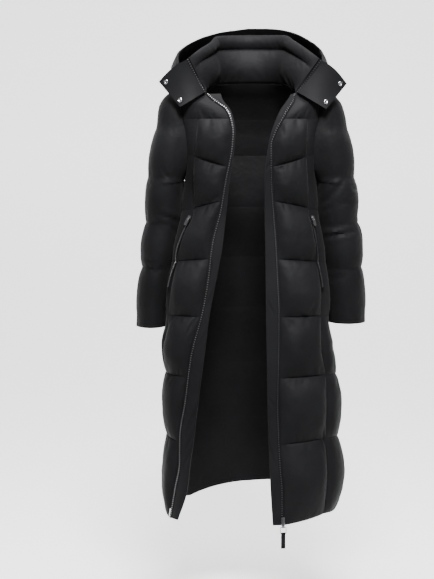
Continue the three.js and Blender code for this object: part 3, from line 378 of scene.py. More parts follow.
# The body's surface, by angle round it and height
def body_point(angle, z):
    angle, z = np.broadcast_arrays(np.asarray(angle, float), np.asarray(z, float))
    s, c = np.sin(np.radians(angle)), np.cos(np.radians(angle))
    half = np.where(s < 0, along(RINGS, "z", "right", z), along(RINGS, "z", "left", z))
    mid = along(RINGS, "z", "mid", z)
    reach = np.where(c > 0, -(along(RINGS, "z", "front", z) + mid), along(RINGS, "z", "back", z) - mid)
    power = 2 / RING_POWER
    beside = np.clip((ARM_FILL["top"] - z) / ARM_FILL["fade"], 0, 1)
    beside = beside * np.clip((z - ARM_FILL["bottom"]) / ARM_FILL["fade"], 0, 1)
    fill = ARM_FILL["width"] * beside * np.abs(s) ** ARM_FILL["power"]
    return np.stack([
        np.sign(s) * (half * np.abs(s) ** power + fill), mid + reach * np.abs(c) ** power, z], -1)


def body_normal(angle, z):
    around = body_point(angle + 1, z) - body_point(angle - 1, z)
    up = body_point(angle, z + 3) - body_point(angle, z - 3)
    return unit(np.cross(around, up))


def angle_at(side, x, z):
    half = along(RINGS, "z", side_key(side), z)
    return np.degrees(np.arcsin(np.minimum(1, (x / half) ** (RING_POWER / 2))))


def zip_x(side, z):
    return along(ZIP_LINES, "z", side_key(side), z)


def guard_x(side, z):
    return along(GUARD_EDGES, "z", side_key(side), z)


def zip_angle(side, z):
    return angle_at(side, zip_x(side, z), z)


def princess_angle(side, z):
    return along(PRINCESS_SEAM, "z", side_key(side), z)


def outer_angle(side, z, way):
    off = (z - ARMHOLE_MIDDLE) / ARMHOLE_HALF
    spread = ARMHOLE["half_angle"] * np.sqrt(np.maximum(0, 1 - off * off))
    seam = along(SIDE_SEAM, "z", side_key(side), z)
    return np.where(z >= ARMHOLE["bottom"], SHOULDER_ANGLE + way * spread, seam)


# Filling between two seams, and across a panel from edge to edge
def baffle(w):
    return np.maximum(0, np.sin(np.pi * w)) ** BAFFLE_POWER


def across(u, edge):
    return 1 - (1 - edge) * np.abs(2 * u - 1) ** EDGE_POWER


def side_puff(z):
    opened = (SIDE_OPENS["top"] - z) / SIDE_OPENS["over"]
    return np.clip(lerp(PRESSED_PUFF, SIDE_PUFF, opened), PRESSED_PUFF, SIDE_PUFF)


def lengths(grid, axis):
    steps = np.linalg.norm(np.diff(grid, axis=axis), axis=-1)
    pad = [(0, 0), (0, 0)]
    pad[axis] = (1, 0)
    return np.pad(np.cumsum(steps, axis=axis), pad)


# Gathers that a seam pulls into the cloth: grooves of uneven depth, length and slant
GATHER = {"root": 3.5, "least": 0.35, "power": 1.3, "width": (0.14, 0.26), "slant": 0.28, "spread": 28,
          "uneven": 0.35, "closest": 0.4, "deepest": 1.25}


def gathers(place, distance, length, seed, spacing, depth, reach):
    rng = np.random.default_rng(seed)
    dent = np.zeros(place.shape)
    near = distance >= 0
    d = np.maximum(distance, 0)
    root = 1 - np.exp(-((d / GATHER["root"]) ** 2))
    s = rng.uniform(0, spacing)
    while s < length:
        size = rng.uniform(GATHER["least"], 1) ** GATHER["power"]
        far = reach * rng.uniform(GATHER["least"], 1)
        width = rng.uniform(*GATHER["width"]) * spacing
        centre = s + rng.normal(0, GATHER["slant"]) * d
        fade = np.maximum(0, 1 - d / far) ** GATHER["power"]
        dent += size * np.exp(-(((place - centre) / (width * (1 + d / GATHER["spread"]))) ** 2)) * fade
        s += max(GATHER["closest"] * spacing, rng.normal(spacing, GATHER["uneven"] * spacing))
    return -depth * np.minimum(dent, GATHER["deepest"]) * near * root


def seam_gathers(grid, rows, seed, spacing=15, depth=3.0, reach=55):
    place, down = lengths(grid, 1), lengths(grid, 0)
    dent = np.zeros(place.shape)
    for k, r in enumerate(rows):
        distance = down - down[r]
        for way in (-1, 1):
            if 0 <= r + way < len(grid):
                dent += gathers(place, way * distance, place[r, -1], seed + 17 * k + way,
                                spacing, depth, reach)
    return dent


def edge_gathers(grid, seed, spacing=17, depth=1.8, reach=26, ends=(True, True)):
    place, out = lengths(grid, 0), lengths(grid, 1)
    total = out[:, -1:]
    dent = np.zeros(place.shape)
    if ends[0]:
        dent += gathers(place, out, place[-1, 0], seed + 5, spacing, depth, reach)
    if ends[1]:
        dent += gathers(place, total - out, place[-1, -1], seed + 11, spacing, depth, reach)
    return dent


def top_gathers(grid, seed, spacing, depth, reach):
    place = lengths(grid, 1)
    return gathers(place, lengths(grid, 0), place[0, -1], seed, spacing, depth, reach)


# Uneven plumpness and small crumples
NOISE_STEP = 7.31


def crumple(grid, scale, seed):
    flat = grid.reshape(-1, 3) / scale + seed * NOISE_STEP
    values = [noise.noise(Vector(p)) for p in flat]
    return np.array(values).reshape(grid.shape[:-1])


def ridges(grid, scale, seed):
    return 1 - 2 * np.abs(crumple(grid, scale, seed))


# Creases given on the front (way -1) or the back (way 1), as lines in x and z, each a
# groove with a low bank on both sides
CREASE = {"taper": 0.6, "bank": 0.35, "bank_place": 2, "turn": 4}


def creases(grid, facing, rows, way=-1):
    dent = np.zeros(grid.shape[:-1])
    x, z = grid[..., 0], grid[..., 2]
    for x0, z0, x1, z1, width, depth in rows:
        run = np.array([x1 - x0, z1 - z0])
        length = np.linalg.norm(run)
        run = run / length
        t = ((x - x0) * run[0] + (z - z0) * run[1]) / length
        off = -(x - x0) * run[1] + (z - z0) * run[0]
        taper = np.clip(np.sin(np.pi * np.clip(t, 0, 1)), 0, 1) ** CREASE["taper"]
        inside = (t > 0) & (t < 1)
        beside = (np.abs(off) - CREASE["bank_place"] * width) / width
        groove = np.exp(-((off / width) ** 2)) - CREASE["bank"] * np.exp(-(beside ** 2))
        dent += depth * groove * taper * inside
    return -dent * np.clip(way * facing * CREASE["turn"], 0, 1)


# Closed walls from an outer and an inner grid. From the row open_rows on, the grid closes round on
# itself. A wall stands for the node of its name, and is padded where it has a filling
def wall(name, outer, inner, materials, open_rows=None, own=False):
    rows, columns = outer.shape[:2]
    open_rows = rows if open_rows is None else open_rows
    a = np.arange(rows * columns).reshape(rows, columns)
    b = a + rows * columns
    a[open_rows:, -1] = a[open_rows:, 0]
    b[open_rows:, -1] = b[open_rows:, 0]
    verts = np.concatenate([outer.reshape(-1, 3), inner.reshape(-1, 3)]) * MM

    def quads(p, q, r, s):
        return np.stack([p, q, r, s], -1).reshape(-1, 4)

    skin = quads(a[:-1, :-1], a[:-1, 1:], a[1:, 1:], a[1:, :-1])
    inside = quads(b[:-1, :-1], b[1:, :-1], b[1:, 1:], b[:-1, 1:])
    top = quads(a[0, :-1], b[0, :-1], b[0, 1:], a[0, 1:])
    foot = quads(a[-1, :-1], a[-1, 1:], b[-1, 1:], b[-1, :-1])
    last = min(rows, open_rows + 1)
    start = quads(a[:last - 1, 0], a[1:last, 0], b[1:last, 0], b[:last - 1, 0])
    end = quads(a[:last - 1, -1], b[:last - 1, -1], b[1:last, -1], a[1:last, -1])
    faces = np.concatenate([skin, inside, top, foot, start, end])
    mesh = bpy.data.meshes.new(name)
    mesh.from_pydata(verts.tolist(), [], faces.tolist())
    mesh.validate()
    for material in materials:
        mesh.materials.append(material)
    if len(materials) > 1:
        index = np.zeros(len(mesh.polygons), np.int32)
        index[len(skin):len(skin) + len(inside)] = 1
        mesh.polygons.foreach_set("material_index", index)
    obj = add_piece(name, mesh)
    if not own:
        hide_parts(name)
    return obj


SHARP_ANGLE = 62


def add_piece(name, mesh):
    bm = bmesh.new()
    bm.from_mesh(mesh)
    loose = [v for v in bm.verts if not v.link_faces]
    bmesh.ops.delete(bm, geom=loose, context="VERTS")
    bmesh.ops.recalc_face_normals(bm, faces=bm.faces)
    bm.to_mesh(mesh)
    bm.free()
    mesh.shade_smooth()
    mesh.set_sharp_from_angle(angle=math.radians(SHARP_ANGLE))
    obj = add_object(name, mesh)
    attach(obj, BODY)
    return obj


def draw_in(grid, gap=SEAM_GAP):
    moved = grid.copy()
    moved[:, 0] += unit(grid[:, 1] - grid[:, 0]) * gap
    moved[:, -1] += unit(grid[:, -2] - grid[:, -1]) * gap
    moved[0] += unit(grid[1] - grid[0]) * gap
    moved[-1] += unit(grid[-2] - grid[-1]) * gap
    return moved


def grid_normals(grid, sign, closed_from=None):
    across_step = np.empty_like(grid)
    across_step[:, 1:-1] = grid[:, 2:] - grid[:, :-2]
    across_step[:, 0] = grid[:, 1] - grid[:, 0]
    across_step[:, -1] = grid[:, -1] - grid[:, -2]
    if closed_from is not None:
        joint = grid[closed_from:, 1] - grid[closed_from:, -2]
        across_step[closed_from:, 0] = joint
        across_step[closed_from:, -1] = joint
    down_step = np.empty_like(grid)
    down_step[1:-1] = grid[2:] - grid[:-2]
    down_step[0] = grid[1] - grid[0]
    down_step[-1] = grid[-1] - grid[-2]
    if closed_from is not None:
        lower = (grid[closed_from - 1, 0] + grid[closed_from - 1, -1]) / 2
        down_step[closed_from, 0] = down_step[closed_from, -1] = grid[closed_from + 1, 0] - lower
    return sign * unit(np.cross(across_step, down_step))


# Rows of the quilted panels: seam number with the fraction of the baffle below it
SEAM_ROWS_NEAR = [0, 0.012, 0.03, 0.055, 0.09, 0.13]
UNDERARM_SEAM = 1
UNDERARM_ROWS = SEAM_ROWS_NEAR + [
    0.18, 0.23, 0.28, 0.32, 0.36, 0.395, 0.425, 0.45, 0.47, 0.484, 0.494, 0.5, 0.55, 0.61, 0.67, 0.73,
    0.79, 0.84, 0.88, 0.92, 0.95, 0.975, 0.99]
EVEN_ROWS = SEAM_ROWS_NEAR + [
    0.18, 0.235, 0.29, 0.345, 0.4, 0.45, 0.5, 0.55, 0.6, 0.655, 0.71, 0.765, 0.82, 0.87, 0.91, 0.945,
    0.97, 0.988]
BAFFLES = len(SEAMS["zip"]) - 1
PANEL_ROWS = [(seam, w) for seam in range(BAFFLES)
              for w in (UNDERARM_ROWS if seam == UNDERARM_SEAM else EVEN_ROWS)]
PANEL_ROWS.append((BAFFLES - 1, 1.0))
ROW_SEAM = np.array([seam for seam, _ in PANEL_ROWS])
ROW_W = np.array([w for _, w in PANEL_ROWS])
SEAM_ROWS = [k for k, (_, w) in enumerate(PANEL_ROWS) if w in (0, 1)]


def row_height(line):
    return lerp(SEAMS[line][ROW_SEAM], SEAMS[line][ROW_SEAM + 1], ROW_W)[:, None]


def panel_grid(angle, z):
    return draw_in(body_point(angle, z)), body_normal(angle, z)


# Height of the filling over a panel with its gathers, plumpness and crumples
QUILT = {"swell": (0.15, 70), "ripple": (0.07, 32), "full": 8, "crumple": (0.7, 26), "mean": 0.6}
SEEDS = {"front": 100, "side": 200, "back": 300, "yoke": 400, "back_yoke": 410, "sleeve": 500}
COLUMNS = {"front": 60, "side": 34, "yoke": 34, "tape": 6, "guard": 16}


def quilted(base, rise, seed, spacing=21, depth=4.2):
    (swell, swell_size), (ripple, ripple_size) = QUILT["swell"], QUILT["ripple"]
    plump = 1 + swell * crumple(base, swell_size, seed) + ripple * crumple(base, ripple_size, seed + 3)
    full = np.clip(rise / QUILT["full"], 0, 1)
    dent = seam_gathers(base, SEAM_ROWS, seed, spacing, depth) * full
    dent += edge_gathers(base, seed) * full
    strength, size = QUILT["crumple"]
    dent += strength * (ridges(base, size, seed + 9) - QUILT["mean"]) * full
    return np.maximum(rise * plump + dent, DEEPEST)


def lining_relief(rise, limit):
    return CLOTH + LINING_PUFF * np.clip(rise / limit, 0, 1)


def body_panel(name, angle, z, rise, seed, limit, folds=None, way=-1, **gather):
    base, normals = panel_grid(angle, z)
    height = quilted(base, rise, seed, **gather)
    if folds:
        height = np.maximum(height + creases(base, normals[..., 1], folds, way), DEEPEST)
    outer = base + normals * height[..., None]
    inner = base - normals * lining_relief(rise, limit)[..., None]
    wall(name, outer, inner, [SHELL, LINING])
    return base, normals


def front_panel(side):
    u = even_row(COLUMNS["front"])
    zip_z, seam_z = row_height("zip"), row_height("princess")
    z = lerp(zip_z, seam_z, u)
    angle = side * lerp(zip_angle(side, zip_z), princess_angle(side, seam_z), u)
    turned = np.clip((np.abs(angle) - FRONT_TURN["from"]) / FRONT_TURN["over"], 0, 1)
    puff = lerp(FRONT_PUFF, np.minimum(FRONT_PUFF, side_puff(z)), turned)
    rise = puff * baffle(ROW_W)[:, None] * across(u, FRONT_TURN["zip_edge"])
    key = side_key(side)
    seed = SEEDS["front"] + side
    return body_panel("front_" + key, angle, z, rise, seed, FRONT_PUFF, FRONT_CREASES[key])


def side_panel(side):
    u = even_row(COLUMNS["side"])
    seam_z, side_z = row_height("princess"), row_height("side")
    z = lerp(seam_z, side_z, u)
    angle = side * lerp(princess_angle(side, seam_z), outer_angle(side, side_z, -1), u)
    rise = side_puff(z) * baffle(ROW_W)[:, None] * across(u, 0)
    return body_panel("side_" + side_key(side), angle, z, rise, SEEDS["side"] + side, SIDE_PUFF)


def back_angles(u, right, left):
    return -right - u * (360 - right - left)


# The back's panels: where each starts and ends across it, and its number of columns
BACK_U = even_row(161)
BACK_PARTS = {"right": (0, 0.27, 46), "centre": (0.27, 0.73, 76), "left": (0.73, 1, 46)}


def back_panel(part, seed):
    start, end, columns = BACK_PARTS[part]
    share = even_row(columns)
    u = lerp(start, end, share)
    side_z, back_z = row_height("side"), row_height("back")
    z = lerp(side_z, back_z, np.sin(np.pi * u))
    angle = back_angles(u, outer_angle(-1, side_z, 1), outer_angle(1, side_z, 1))
    turned = np.maximum(0, np.abs(2 * u - 1) - BACK_TURN["from"]) / BACK_TURN["over"]
    puff = lerp(BACK_PUFF, np.minimum(BACK_PUFF, side_puff(z)), turned)
    rise = puff * baffle(ROW_W)[:, None] * across(share, 0) ** 2
    return body_panel("back_" + part, angle, z, rise, seed, BACK_PUFF, BACK_CREASES, 1, spacing=24)


# Yokes: the share of their outer edge along the armhole, and their gathers and tucks
YOKE_ARMHOLE = 0.6
YOKE_GATHERS = (12, 2.6, 34)
YOKE_TUCKS = [(0.3, 26, 2.2), (0.52, 34, 3.2), (0.7, 22, 1.8)]
TUCK = {"width": 2.4, "start": 3}


def armhole_turn(z):
    return np.degrees(np.arccos(np.clip((z - ARMHOLE_MIDDLE) / ARMHOLE_HALF, -1, 1)))


def yoke_turn(v):
    return armhole_turn(SEAMS["side"][0]) * (1 - v / YOKE_ARMHOLE)


YOKE_V = np.concatenate([np.linspace(0, YOKE_ARMHOLE, 17), np.linspace(YOKE_ARMHOLE, 1, 12)[1:]])


def yoke_outer(way):
    low = ARMHOLE_MIDDLE + ARMHOLE_HALF * np.cos(np.radians(yoke_turn(YOKE_V)))
    high = lerp(ARMHOLE["top"], NECK["shoulder"], (YOKE_V - YOKE_ARMHOLE) / (1 - YOKE_ARMHOLE))
    z = np.where(YOKE_V < YOKE_ARMHOLE, low, high)
    off = np.clip((z - ARMHOLE_MIDDLE) / ARMHOLE_HALF, -1, 1)
    spread = ARMHOLE["half_angle"] * np.sqrt(1 - off * off)
    angle = np.where(z >= ARMHOLE["top"], SHOULDER_ANGLE, SHOULDER_ANGLE + way * spread)
    return angle[:, None], z[:, None]


def yoke_rise():
    return (YOKE_PUFF * baffle(YOKE_V) * (1 - YOKE_V**3))[:, None]


def yoke(name, angle, z, rise, seed):
    base, normals = panel_grid(angle, z)
    dent = seam_gathers(base, [0], seed, *YOKE_GATHERS) + edge_gathers(base, seed, ends=(False, True))
    place, down = lengths(base, 1), lengths(base, 0)
    for share, length, depth in YOKE_TUCKS:
        groove = np.exp(-(((place - share * place[0, -1]) / TUCK["width"]) ** 2))
        dent -= depth * groove * np.clip(1 - down / length, 0, 1) * np.clip(down / TUCK["start"], 0, 1)
    full = np.clip(rise / 3, 0, 1)
    height = np.maximum(rise * (1 + 0.1 * crumple(base, 45, seed)) + dent * full, DEEPEST)
    wall(name, base + normals * height[..., None], base - normals * CLOTH, [SHELL, LINING])


def front_yoke(side):
    u = even_row(COLUMNS["yoke"])
    inner_z = lerp(SEAMS["zip"][0], NECK["corner"], YOKE_V)[:, None]
    outer, outer_z = yoke_outer(-1)
    angle = side * lerp(zip_angle(side, inner_z), outer, u)
    rise = yoke_rise() * across(u, 0) ** 2
    z = lerp(inner_z, outer_z, u)
    yoke("front_yoke_" + side_key(side), angle, z, rise, SEEDS["yoke"] + side)


def back_yoke():
    outer, side_z = yoke_outer(1)
    back_z = lerp(SEAMS["back"][0], NECK["back"], YOKE_V)[:, None]
    z = lerp(side_z, back_z, np.sin(np.pi * BACK_U))
    rise = yoke_rise() * across(BACK_U, 0)
    yoke("back_yoke", back_angles(BACK_U, outer, outer), z, rise, SEEDS["back_yoke"])


# Sleeves: the cap's rows from the shoulder down, then rings by seam number, all in columns round
SLEEVE_J = np.linspace(-1, 1, 89)
CAP_TOP_TURN = 24.8
CAP_TOP_SEAM = 0.45
CAP_HOLES = [37.2, 41, 45, 49.6, 53.5, 58, 62, 66.6, 71.2, 76, 81, 85.9, 90.7, 95.5, 100.4, 104.8, 109.1,
             113.3, 117.5, 122, 126.6, 131.8, 137, 143.4, 149.9, 155, 160, 164.7, 169.4, 174.7, 180]
CAP_PULL = {"from": 0.75, "over": 0.25, "power": 1.5}
CAP_END = {"seam": 2.18, "fade": 0.32}
RING_SEAMS = np.concatenate([np.linspace(CAP_END["seam"], 3, 15)[1:], np.linspace(3, CUFF["seam"], 37)[1:]])
SLEEVE_SIDE = {"least": 0.08, "more": 0.92, "power": 0.6}
SLEEVE_GATHERS = (20, 3.8, 50)
CAP_GATHERS = (13, 2.4, 40)
SLEEVE_EDGE_GATHERS = (14, 2.2, 30)
BEHIND = (18, -12)


def armhole_point(side, turn):
    turn = np.asarray(turn, float)
    z = ARMHOLE_MIDDLE + ARMHOLE_HALF * np.cos(np.radians(turn))
    angle = SHOULDER_ANGLE + ARMHOLE["half_angle"] * np.sin(np.radians(turn))
    point = body_point(side * angle, z)
    lowest = ((1 - np.cos(np.radians(turn))) / 2) ** 8
    highest = ((1 + np.cos(np.radians(turn))) / 2) ** 2
    point[..., 0] += side * (ARMHOLE["under"] * lowest + ARMHOLE["over"] * highest)
    inward = body_point(side * SHOULDER_ANGLE, ARMHOLE_MIDDLE) - point
    inward[..., 0] = 0
    return point + unit(inward) * (ARMHOLE["inset"] + ARMHOLE["under"] * lowest)[..., None]


def cap_row(side, hole):
    key = side_key(side)
    columns = ("mid_" + key, key, "depth", "y", "z")
    middle, outer, depth, mid_y, height = (float(along(CAP_ROWS, "hole", column, hole)) for column in columns)
    reach = outer - middle
    end = armhole_point(side, hole)
    end_turn = 180 if hole >= 180 else math.degrees(math.atan2(
        abs(end[1] - mid_y) / depth, (abs(end[0]) - middle) / reach))
    turn = end_turn * SLEEVE_J
    c, s = np.cos(np.radians(turn)), np.sin(np.radians(turn))
    finish = armhole_point(side, np.where(turn < 0, -hole, hole))
    ideal = np.stack([
        np.full(turn.shape, side * (middle + reach * math.cos(math.radians(end_turn)))),
        mid_y + np.sign(turn) * depth * math.sin(math.radians(end_turn)),
        np.full(turn.shape, height)], -1)
    pull = finish - ideal
    near = np.maximum(0, (np.abs(turn) / end_turn - CAP_PULL["from"]) / CAP_PULL["over"]) ** 2
    drop = 1 - math.cos(math.radians(end_turn))
    return np.stack([
        side * (middle + reach * c) + pull[:, 0] * near,
        mid_y + depth * s + pull[:, 1] * near,
        height + pull[:, 2] * ((1 - c) / drop) ** CAP_PULL["power"]], -1)


def sleeve_baffle(seam):
    kept = CUFF["full"] * np.clip((seam - CUFF["from"]) / (CUFF["to"] - CUFF["from"]), 0, 1)
    return np.maximum(baffle(seam % 1), kept)


def sleeve_drop(side, seam):
    share = (seam - CUFF["start"]) / (CUFF["seam"] - CUFF["start"])
    return CUFF["right_drop"] * min(1, max(0, share)) if side < 0 else 0


def ring_row(side, seam):
    key = side_key(side)
    columns = ("inner_" + key, key, "depth", "y", "z")
    inner, outer, depth, mid_y, z = (float(along(SLEEVE_RINGS, "seam", column, seam)) for column in columns)
    turn = np.pi * SLEEVE_J
    return np.stack([
        side * lerp(inner, outer, (1 + np.cos(turn)) / 2), mid_y + depth * np.sin(turn),
        np.full(turn.shape, z - sleeve_drop(side, seam))], -1)


def sleeve(side):
    top = armhole_point(side, CAP_TOP_TURN * SLEEVE_J)
    first = cap_row(side, CAP_HOLES[0])
    rows, heights = [top], [0.0]
    for w in (0.25, 0.5, 0.75):
        rows.append(lerp(top, first, w))
        heights.append(CAP_TOP_SEAM * w)
    for hole in CAP_HOLES:
        rows.append(cap_row(side, hole))
        heights.append(float(along(CAP_ROWS, "hole", "seam", hole)))
    open_rows = len(rows) - 1
    left_over = rows[-1] - ring_row(side, CAP_END["seam"])
    for seam in RING_SEAMS:
        fade = max(0.0, 1 - (seam - CAP_END["seam"]) / CAP_END["fade"])
        rows.append(ring_row(side, seam) + left_over * fade * fade * (3 - 2 * fade))
        heights.append(float(seam))
    grid, heights = np.array(rows), np.array(heights)
    normals = grid_normals(grid, -side, open_rows)
    normals[0, 0], normals[0, -1] = normals[0, 1], normals[0, -2]
    is_open = (np.arange(len(rows)) < open_rows)[:, None]
    j = (SLEEVE_J + 1) / 2
    outward = ((1 + np.cos(np.pi * SLEEVE_J)) / 2) ** SLEEVE_SIDE["power"]
    facing = SLEEVE_SIDE["least"] + SLEEVE_SIDE["more"] * outward
    share = np.where(is_open, across(j, 0)[None, :], facing[None, :])
    rise = SLEEVE_PUFF * sleeve_baffle(heights)[:, None] * share
    seam_rows = [int(np.argmin(np.abs(heights - k))) for k in range(1, 6)]
    full = np.clip(rise / 5, 0, 1)
    seed = SEEDS["sleeve"] + 40 * side
    dent = seam_gathers(grid, seam_rows, seed, *SLEEVE_GATHERS)
    dent += top_gathers(grid, seed + 3, *CAP_GATHERS)
    edge = edge_gathers(grid, seed, *SLEEVE_EDGE_GATHERS) * is_open
    height = rise * (1 + 0.14 * crumple(grid, 60, seed)) + (dent + edge) * full
    height += 0.5 * (ridges(grid, 22, seed + 4) - 0.6) * full
    folds = SLEEVE_CREASES[side_key(side)]
    behind = [(x0, z0 + BEHIND[0], x1, z1 + BEHIND[1], *size) for x0, z0, x1, z1, *size in folds]
    height += creases(grid, normals[..., 1], folds) * np.clip(share * 2, 0, 1)
    height += creases(grid, normals[..., 1], behind, 1) * np.clip(share * 2, 0, 1)
    height = np.maximum(height, DEEPEST)
    height[:, -1] = np.where(is_open[:, 0], height[:, -1], height[:, 0])
    inner = grid - normals * CLOTH
    centre = body_point(side * SHOULDER_ANGLE, ARMHOLE_MIDDLE)
    for pick in [(0, slice(None)), (slice(1, open_rows), 0), (slice(1, open_rows), -1)]:
        inward = centre - grid[pick]
        inward[..., 0] = 0
        inner[pick] = grid[pick] + unit(inward) * CLOTH
    outer = grid + normals * height[..., None]
    wall("sleeve_" + side_key(side), outer, inner, [SHELL, LINING], open_rows)
    return grid, normals, seam_rows


# Zip tapes and wind guards along the front edges
EDGE_Z = np.concatenate([np.linspace(NECK["corner"], SEAMS["zip"][0], 14)[:-1],
                         np.linspace(SEAMS["zip"][0], SEAMS["zip"][-1], 190)])[:, None]


def edge_strip(side, start, end, columns):
    u = even_row(columns)
    angle = side * lerp(angle_at(side, start, EDGE_Z), angle_at(side, end, EDGE_Z), u)
    return draw_in(body_point(angle, EDGE_Z)), body_normal(angle, EDGE_Z)


def zip_tape(side):
    key = side_key(side)
    edge = zip_x(side, EDGE_Z)
    base, normals = edge_strip(side, edge - ZIP_WIDTH, edge, COLUMNS["tape"])
    outer, inner = base + normals * ZIP_RISE, base + normals * (ZIP_RISE - CLOTH)
    wall("zip_" + key, outer, inner, [TAPE])
    teeth("zip_teeth_" + key, outer[:, 1], normals[:, 1], key)


def wind_guard(side):
    key = side_key(side)
    inner_edge = zip_x(side, EDGE_Z) - ZIP_WIDTH
    base, normals = edge_strip(side, guard_x(side, EDGE_Z), inner_edge, COLUMNS["guard"])
    free = 1 - even_row(COLUMNS["guard"])
    wave = 1.6 * crumple(base, 90, 31 + side) * free
    wave += creases(base, normals[..., 1], GUARD_CREASES[key])
    wave += 0.35 * crumple(base, 26, 41 + side) * free
    outer = base + normals * wave[..., None]
    obj = wall("wind_guard_" + key, outer, outer - normals * CLOTH, [FLAT])
    stitches("guard_stitch_" + key, outer[:, 1], normals[:, 1])


# Small repeated things along a line, as one joined mesh: each is a little block that narrows
# towards its top
STITCH = {"pitch": 4.2, "half": (1.5, 0.42, 0.5)}
TOOTH = {"pitch": 6.0, "half": (1.2, 1.7, 1.1)}
COIL = {"pitch": 1.7, "half": (0.55, 1.9, 0.8)}
BLOCK = np.array([(-1, -1, 0), (1, -1, 0), (1, 1, 0), (-1, 1, 0),
                  (-0.7, -0.75, 1), (0.7, -0.75, 1), (0.7, 0.75, 1), (-0.7, 0.75, 1)], float)
BLOCK_FACES = np.array([(0, 3, 2, 1), (4, 5, 6, 7), (0, 1, 5, 4), (1, 2, 6, 5), (2, 3, 7, 6), (3, 0, 4, 7)])


def even_line(line, pitch):
    step = np.linalg.norm(np.diff(line, axis=0), axis=1)
    total = np.concatenate([[0], np.cumsum(step)])
    at = np.arange(pitch / 2, total[-1], pitch)
    return np.stack([np.interp(at, total, line[:, k]) for k in range(line.shape[1])], -1)


def blocks(name, line, normals, shape, material):
    both = even_line(np.concatenate([line, normals], 1), shape["pitch"])
    centres = both[:, :3]
    x_axis = unit(np.gradient(centres, axis=0))
    y_axis = unit(np.cross(unit(both[:, 3:]), x_axis))
    z_axis = unit(np.cross(x_axis, y_axis))
    local = BLOCK * np.array(shape["half"])
    points = (centres[:, None] + local[None, :, :1] * x_axis[:, None] + local[None, :, 1:2] * y_axis[:, None]
              + local[None, :, 2:] * z_axis[:, None])
    faces = BLOCK_FACES[None] + len(BLOCK) * np.arange(len(centres))[:, None, None]
    mesh = bpy.data.meshes.new(name)
    mesh.from_pydata((points.reshape(-1, 3) * MM).tolist(), [], faces.reshape(-1, 4).tolist())
    mesh.materials.append(material)
    add_piece(name, mesh)


def stitches(name, line, normals, lift=0.1):
    blocks(name, line + normals * lift, normals, STITCH, THREAD)


def teeth(name, line, normals, key):
    # The teeth of one metal are painted lighter on the wearer's right and darker on the left, for light and
    # shade
    blocks(name, line, normals, TOOTH, TEETH_BY_PAINTED_LIGHT[key])


# Collar
def neck_place(side_corners, t):
    t = np.asarray(t, float)
    side = np.where(t < 0.5, -1, 1)
    corner = np.where(side < 0, side_corners[0], side_corners[1])
    w = np.where(side < 0, t, 1 - t) / 0.25
    front_angle = side * lerp(corner, SHOULDER_ANGLE, w)
    front_z = lerp(NECK["corner"], NECK["shoulder"], w)
    u = (t - 0.25) / 0.5
    back_angle = back_angles(u, SHOULDER_ANGLE, SHOULDER_ANGLE)
    back_z = lerp(NECK["shoulder"], NECK["back"], np.sin(np.pi * np.clip(u, 0, 1)))
    at_back = (t > 0.25) & (t < 0.75)
    return np.where(at_back, back_angle, front_angle), np.where(at_back, back_z, front_z)


NECK_CORNERS = [float(zip_angle(side, np.array(float(NECK["corner"])))) for side in (-1, 1)]


def collar_point(t, v):
    t, v = np.broadcast_arrays(np.asarray(t, float), np.asarray(v, float))
    base = body_point(*neck_place(NECK_CORNERS, t))
    base[..., 2] += COLLAR_LIFT
    top = np.stack([along(COLLAR_TOP, "t", axis, t) for axis in "xyz"], -1)
    return lerp(base, top, v[..., None])


COLLAR_GATHERS = {"seams": (14, 2.6, 34), "ends": (14, 2.4, 28), "neck": (24, 5.0, 52)}


def collar():
    v = np.concatenate([np.linspace(0, COLLAR_SEAM, 19), np.linspace(COLLAR_SEAM, 1, 10)[1:]])
    t = np.linspace(0, 1, 141)
    grid = collar_point(t[None, :], v[:, None])
    normals = grid_normals(grid, -1)
    low = v <= COLLAR_SEAM
    w = np.where(low, v / COLLAR_SEAM, (v - COLLAR_SEAM) / (1 - COLLAR_SEAM))
    full = np.where(low, COLLAR_PUFF, COLLAR_TOP_SHARE * COLLAR_PUFF)
    rise = (full * baffle(w))[:, None] * across(t, 0)[None, :]
    seam = int(np.argmin(np.abs(v - COLLAR_SEAM)))
    dent = seam_gathers(grid, [0, seam, len(v) - 1], 61, *COLLAR_GATHERS["seams"])
    dent = dent + edge_gathers(grid, 62, *COLLAR_GATHERS["ends"])
    dent += seam_gathers(grid, [0], 66, *COLLAR_GATHERS["neck"])
    share = np.clip(rise / 5, 0, 1)
    height = np.maximum(rise * (1 + 0.12 * crumple(grid, 45, 63)) + dent * share, -0.5)
    wall("collar", grid, grid - normals * (CLOTH + height)[..., None], [SHELL, SHELL])
    stitches("collar_stitch", (grid - normals * (CLOTH + 0.2))[seam], -normals[seam], 0)
    inside = grid - normals * (CLOTH + np.maximum(height, 0))[..., None]
    for side in (-1, 1):
        collar_zip(side)
        collar_band(side, v, inside, normals)


# The wind guards run on over the collar's inner face: to its top on the wearer's left, and to a
# narrow end low down on the right. Width, and height as a share of the collar's
COLLAR_BAND = {"right": (34, 0.34), "left": (17, 1.0)}
BAND = {"cloth": 2.0, "narrowest": 4, "sunk": 0.5, "columns": 10}


def collar_band(side, v, inside, normals):
    width, height = COLLAR_BAND[side_key(side)]
    use = v <= height
    order = slice(None) if side < 0 else slice(None, None, -1)
    face, out = inside[use][:, order], normals[use][:, order]
    run = lengths(face, 1)
    narrowed = width * (1 - v[use] / height) + BAND["narrowest"]
    full = narrowed if side < 0 else np.full(use.sum(), float(width))
    at = even_row(BAND["columns"]) * full[:, None]
    pick = [[np.interp(at[i], run[i], part[i, :, k]) for k in range(3)]
            for i in range(len(face)) for part in (face, out)]
    pick = np.array(pick).reshape(len(face), 2, 3, -1)
    base, lift = np.moveaxis(pick[:, 0], 1, -1), unit(np.moveaxis(pick[:, 1], 1, -1))
    back = base - lift * BAND["sunk"]
    face = back - lift * BAND["cloth"]
    obj = wall("collar_band_" + side_key(side), face, back, [FLAT], own=True)


COLLAR_ZIP = {"start": 0.04, "gap": 0.4, "out": 0.8, "in": 2.2}


